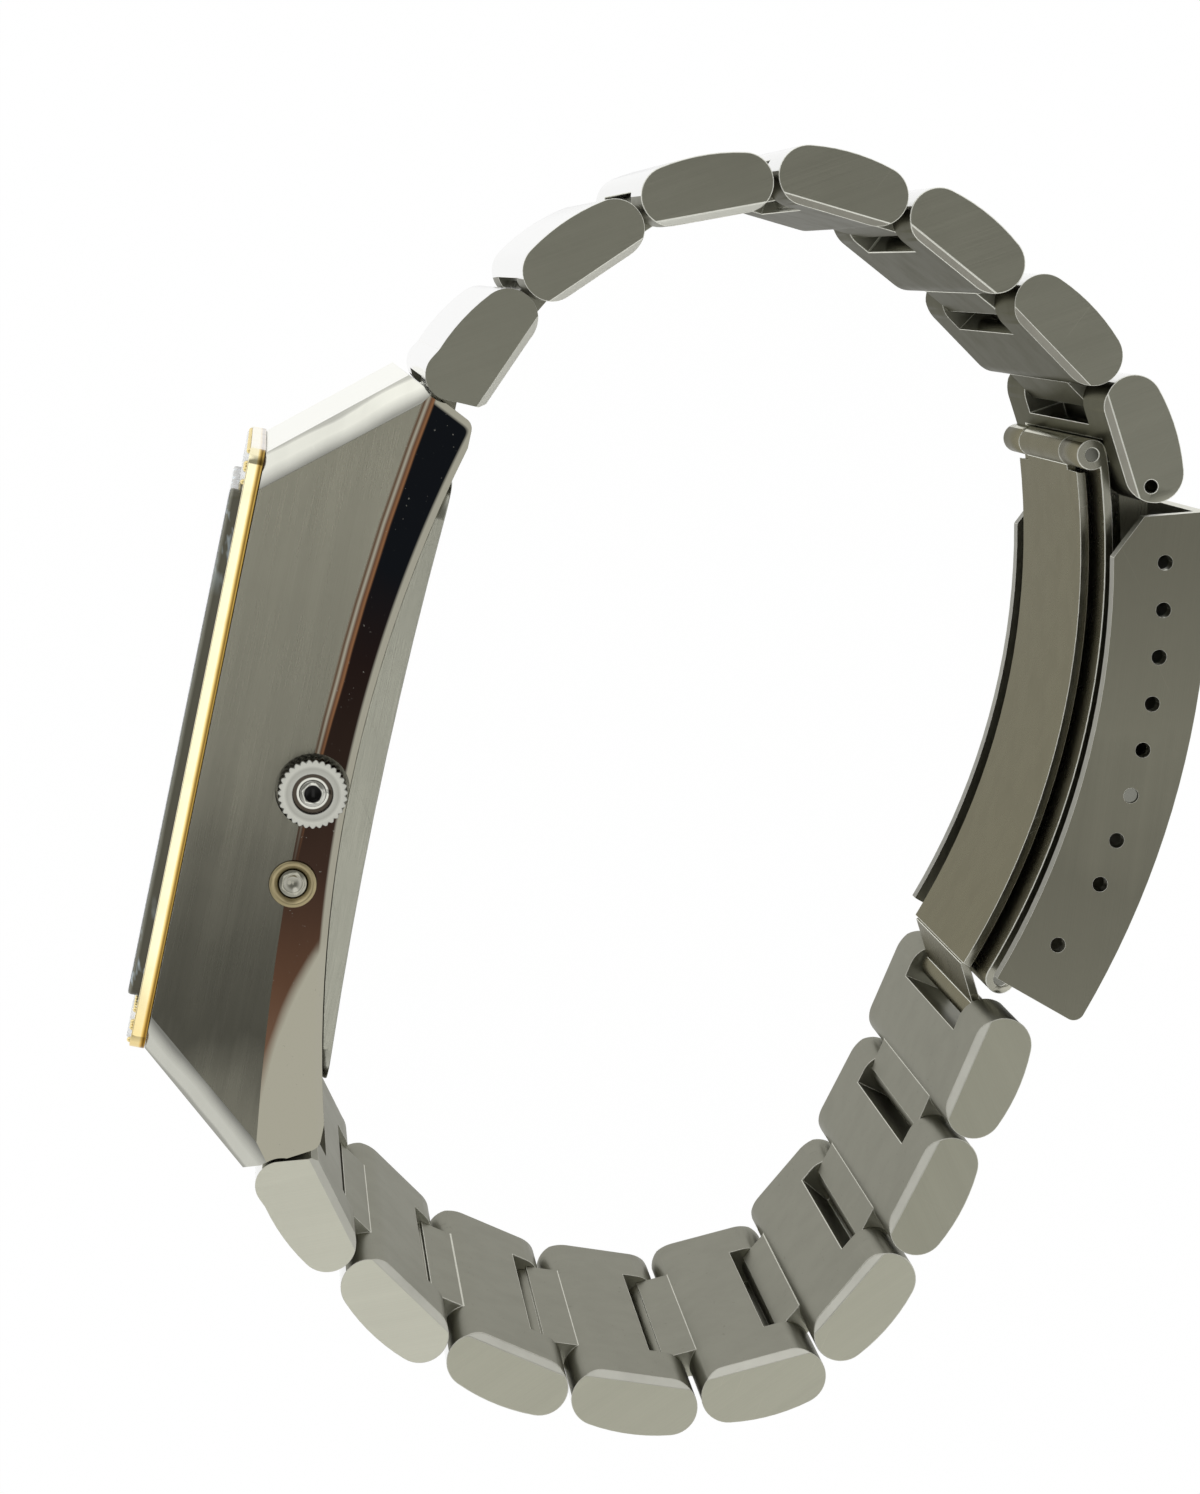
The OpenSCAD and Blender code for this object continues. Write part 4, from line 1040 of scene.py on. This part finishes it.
@dataclass
class WatchHead:
    """Case with its bezel, crystal, crown, corrector, back and movement.

    Attributes:
        nodes: The model's objects by node name.
        edge: Width of the case's rounding in millimetres.
        press: How far the corrector's button goes in, in millimetres. Not used.
    """

    nodes: dict[str, Any]
    edge: float = 0.12
    press: float = 0.5

    def spring(self) -> None:
        """Remakes the corrector's spring as a piece of its own on the case."""
        shape = bmesh.new()
        shape.from_mesh(self.nodes["corrector_spring"].data)
        coil = piece("corrector_coil", shape, Finish.POLISH, "case", ("corrector_spring",))
        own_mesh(coil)

    def build(self) -> None:
        """Dresses and remakes the head's pieces."""
        softened(self.nodes["case_middle"], Finish.CASE, "case", self.edge, 3,
                 (Zone(Finish.LOW_BEVEL, 8.0, 20.0), Zone(Finish.SLOPE, 22.0, 34.0),
                  Zone.walls(Finish.END_PLANE, 1.0)), 2.2)
        softened(self.nodes["bezel"], Finish.BEZEL, "case", 0.12, 3)
        softened(self.nodes["crystal"], Finish.GLASS, "case", 0.15, 2,
                 (Zone(Finish.GLASS_EDGE, 60.0, 90.0, way=tuple(CASE_OUT)),))
        softened(self.nodes["caseback"], Finish.BACK, "case", 0.08)
        softened(self.nodes["crown"], Finish.CROWN, "crown_stem", 0.04)
        softened(self.nodes["corrector_sleeve"], Finish.BRASS, "case", 0.05)
        softened(self.nodes["corrector_button"], Finish.BUTTON, "corrector", 0.05)
        Stones(self.nodes["bezel_stones"]).build()
        self.spring()
        for name, finish in {
            "crystal_gasket": Finish.GASKET,
            "caseback_gasket": Finish.GASKET, "dial": Finish.DIAL,
            "movement_holder": Finish.HOLDER, "movement_plate": Finish.PLATE,
            "circuit_board": Finish.BOARD, "coil": Finish.COIL, "battery": Finish.CAN,
            "winding_stem": Finish.POLISH, "setting_yoke": Finish.POLISH,
            "crown_tube": Finish.POLISH,
            "hour_hand": Finish.GOLD, "minute_hand": Finish.GOLD,
        }.items():
            dress(self.nodes[name], finish)


@dataclass
class Bracelet:
    """The two chains of solid links and their pins.

    Attributes:
        nodes: The model's objects by node name.
        edge: Width of a link's rounding in millimetres.
        chains: Each chain's side of the case with its number of links.
        lit: How many links from the 12 o'clock end get a painted highlight on their chamfers; the
            rest get painted shade on their inner walls and chamfers.
        pale: How many links below the 6 o'clock end get the strongest painted light.
        soft: How many links on that side get the soft painted light or stronger; the rest get the
            faint painted light.
    """

    nodes: dict[str, Any]
    edge: float = 0.10
    chains: tuple[tuple[str, int], ...] = (("12", 7), ("6", 8))
    lit: int = 3
    pale: int = 2
    soft: int = 6

    def finish_of(self, side: str, number: int) -> Finish:
        """Picks a link's finish: the links below the case get lighter copies of it, painted light.

        Args:
            side: "12" or "6".
            number: The link's number from the case.

        Returns:
            Its finish.
        """
        if side == "12":
            return Finish.LINK
        if number <= self.pale:
            return Finish.LINK_PALE
        return Finish.LINK_SOFT if number <= self.soft else Finish.LINK_MID

    def zones_of(self, side: str, number: int) -> tuple[Zone, ...]:
        """Picks a link's zones, of which the first also gives its roundings their finish.

        Args:
            side: "12" or "6".
            number: The link's number from the case.

        Returns:
            The zones.
        """
        outer, inner = Zone.walls(Finish.POLISH, 1.0), Zone.walls(Finish.LINK_INSIDE, -1.0)
        if side == "6":
            return Zone.chamfers(Finish.LINK_EDGE), outer, inner
        # Links near the 12 o'clock end get the painted highlight on their chamfers and roundings;
        # the rest keep it on their roundings, with painted shade on their inner walls and chamfers.
        if number <= self.lit:
            return Zone.chamfers(Finish.LINK_RIM), outer, inner
        # No face of these links leans 30 to 40 degrees: the first zone is for the roundings only.
        return (Zone(Finish.LINK_RIM, 30.0, 40.0), outer,
                Zone.walls(Finish.LINK_INSIDE_DIM, -1.0), Zone.chamfers(Finish.LINK_EDGE_DIM))

    def build(self) -> None:
        """Rounds every link and dresses every pin."""
        for side, count in self.chains:
            for number in range(1, count + 1):
                name = f"link_{side}_{number}"
                softened(self.nodes[name], self.finish_of(side, number), name, self.edge, 2,
                         self.zones_of(side, number), rim=True)
                dress(self.nodes[f"pin_{side}_{number}"], Finish.POLISH)
        dress(self.nodes["clasp_end_pin"], Finish.SUNK_PIN)


@dataclass
class Clasp:
    """Cover, strap, spring bar and the two folding blades."""

    nodes: dict[str, Any]

    def build(self) -> None:
        """Rounds the cover, the strap and the blades, and dresses the pins."""
        # The cover's and blades' chamfers and roundings get the painted highlight, the cover's
        # outer walls the strongest painted light, and the blades' faces towards the middle painted
        # shade.
        rim = Zone.chamfers(Finish.LINK_RIM)
        softened(self.nodes["clasp_cover"], Finish.COVER, "clasp_cover", 0.12, 2,
                 (rim, Zone.walls(Finish.LINK_PALE, 1.0)), rim=True)
        softened(self.nodes["clasp_end_piece"], Finish.STRAP, "clasp_cover", 0.08)
        faces = (rim, Zone(Finish.BLADE_FACE, 80.0, 90.0, -1.0))
        for blade in ("outer", "inner"):
            softened(self.nodes[f"fold_blade_{blade}"], Finish.BLADE, f"blade_{blade}", 0.07, 2,
                     faces, rim=True)
        for name in ("clasp_spring_bar", "cover_hinge_pin", "blade_hinge_pin"):
            dress(self.nodes[name], Finish.PIN_END)


@dataclass
class Studio:
    """Camera, floor, lamps and world.

    Attributes:
        eye: Place of the camera in millimetres.
        focal_px: Focal length in pixels of the photo.
        frame_px: Width and height of the photo.
        plumb_px: Where the point straight below the camera falls.
        sensor_mm: Longer side of the camera's sensor.
        floor_half: Half the floor's side, in metres.
        floor_drop: Gap between the floor and the watch, in metres.
        glow_share: Share of white that the floor shows instead of its own shade.
    """

    eye: Vec3 = (-20.43, 27.31, 183.0)
    focal_px: float = 3200.0
    frame_px: tuple[int, int] = (1200, 1494)
    plumb_px: tuple[float, float] = (270.0, 265.0)
    sensor_mm: float = 36.0
    floor_half: float = 1.2
    floor_drop: float = 0.0005
    glow_share: float = 0.995

    def camera(self) -> None:
        """Sets the camera above the crown side, tilted so that straight down falls on plumb_px."""
        data = bpy.data.cameras.new("camera")
        data.sensor_width = self.sensor_mm
        data.lens = self.sensor_mm * self.focal_px / self.frame_px[1]
        data.clip_start, data.clip_end = 0.005, 5.0
        obj = bpy.data.objects.new("camera", data)
        bpy.context.collection.objects.link(obj)
        down = Vector((self.plumb_px[0] - self.frame_px[0] / 2,
                       self.frame_px[1] / 2 - self.plumb_px[1], -self.focal_px)).normalized()
        z_axis = -down
        y_axis = Vector((0, 1, 0))
        y_axis = (y_axis - z_axis * y_axis.dot(z_axis)).normalized()
        x_axis = y_axis.cross(z_axis)
        turned = Matrix((x_axis, y_axis, z_axis)).to_4x4()
        obj.matrix_world = Matrix.Translation(Vector(self.eye) * MM) @ turned
        bpy.context.scene.camera = obj

    def floor(self) -> None:
        """Lays a pale floor that shows near white and keeps a soft shadow."""
        shape = bmesh.new()
        bmesh.ops.create_grid(shape, x_segments=4, y_segments=4, size=self.floor_half)
        bmesh.ops.translate(shape, verts=shape.verts, vec=(0, 0, -self.floor_drop))
        mesh = bpy.data.meshes.new("floor")
        shape.to_mesh(mesh)
        shape.free()
        obj = bpy.data.objects.new("floor", mesh)
        bpy.context.collection.objects.link(obj)
        s = Sheet("floor_white")
        mottle = s.noise(s.place(), 0.02, 2.0)
        plain = s.node("ShaderNodeBsdfDiffuse", None,
                       {"Color": s.blend(mottle, (0.80, 0.80, 0.80), (0.83, 0.83, 0.825))})
        glow = s.node("ShaderNodeEmission", None, {"Color": WHITE, "Strength": 1.0})
        seen = s.node("ShaderNodeLightPath", out="Is Camera Ray")
        mirrored = s.node("ShaderNodeLightPath", out="Is Glossy Ray")
        through = s.node("ShaderNodeLightPath", out="Is Transmission Ray")
        share = (seen + mirrored + through).clamped() * self.glow_share
        mixed = s.node("ShaderNodeMixShader", None, {0: share, 1: plain, 2: glow})
        s.tree.links.new(mixed.socket, s.output.inputs["Surface"])
        mesh.materials.append(s.material)

    def lamp(self, name: str, place: Vec3, aim: Vec3, size: float, power: float) -> None:
        """Hangs one soft box that polished metal does not mirror.

        Args:
            name: Name of the lamp.
            place: Its place in millimetres.
            aim: The point that it faces, in millimetres.
            size: Side of the box in millimetres.
            power: Power in watts.
        """
        data = bpy.data.lights.new(name, "AREA")
        data.shape = "SQUARE"
        data.size = size * MM
        data.energy = power
        obj = bpy.data.objects.new(name, data)
        obj.location = Vector(place) * MM
        obj.rotation_mode = "QUATERNION"
        obj.rotation_quaternion = (Vector(aim) - Vector(place)).to_track_quat("-Z", "Y")
        obj.visible_glossy = False
        bpy.context.collection.objects.link(obj)

    def world(self) -> None:
        """Fills the world with pale light and shows it white to the camera."""
        s = Sheet.for_world("studio")
        way = s.node("ShaderNodeTexCoord", out="Generated")
        height = s.along(way, HINGES)
        right = s.along(way, (1.0, 0.0, 0.0))
        up = s.along(way, (0.0, 1.0, 0.0))
        ring = height.span(0.86, 0.30)
        room = s.blend(ring, (0.26, 0.26, 0.24), WHITE)
        window = s.along(way, unit(0.05, -0.70, 0.71)).span(0.74, 0.96)
        room = s.blend(window * 0.6, room, (1.0, 1.0, 0.98))
        side = s.along(way, unit(0.52, -0.26, 0.81)).span(0.93, 0.965)
        room = s.blend(side, room, (0.95, 0.95, 0.92))
        above = s.along(way, unit(-0.33, 0.73, 0.60)).span(0.90, 0.975)
        room = s.blend(above, room, (1.22, 1.22, 1.22))
        tube = (right.span(-0.12, -0.08) * right.span(0.08, 0.05)
                * up.span(-0.44, -0.36) * up.span(0.08, 0.02))
        room = s.blend(tube * height.span(0.7, 0.8), room, (1.25, 1.25, 1.2))
        light = s.node("ShaderNodeBackground", None, {"Color": room, "Strength": 1.0})
        white = s.node("ShaderNodeBackground", None, {"Color": WHITE, "Strength": 1.0})
        seen = s.node("ShaderNodeLightPath", out="Is Camera Ray")
        mixed = s.node("ShaderNodeMixShader", None, {0: seen, 1: light, 2: white})
        s.tree.links.new(mixed.socket, s.output.inputs["Surface"])

    def build(self) -> None:
        """Sets up the whole studio."""
        self.camera()
        self.floor()
        self.world()
        self.lamp("key", (-260, 200, 160), (0, 0, 12), 380, 0.9)
        self.lamp("fill", (240, -160, 120), (0, 0, 12), 380, 0.35)
        bpy.context.scene.view_settings.view_transform = "Standard"


def main() -> None:
    """Builds the watch's looks in order and keeps its sizes."""
    logging.basicConfig(level=logging.INFO, format="%(name)s: %(message)s")
    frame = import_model()
    nodes = frame["nodes"]
    Studio().build()
    WatchHead(nodes).build()
    Bracelet(nodes).build()
    Clasp(nodes).build()


if __name__ == "__main__":
    main()
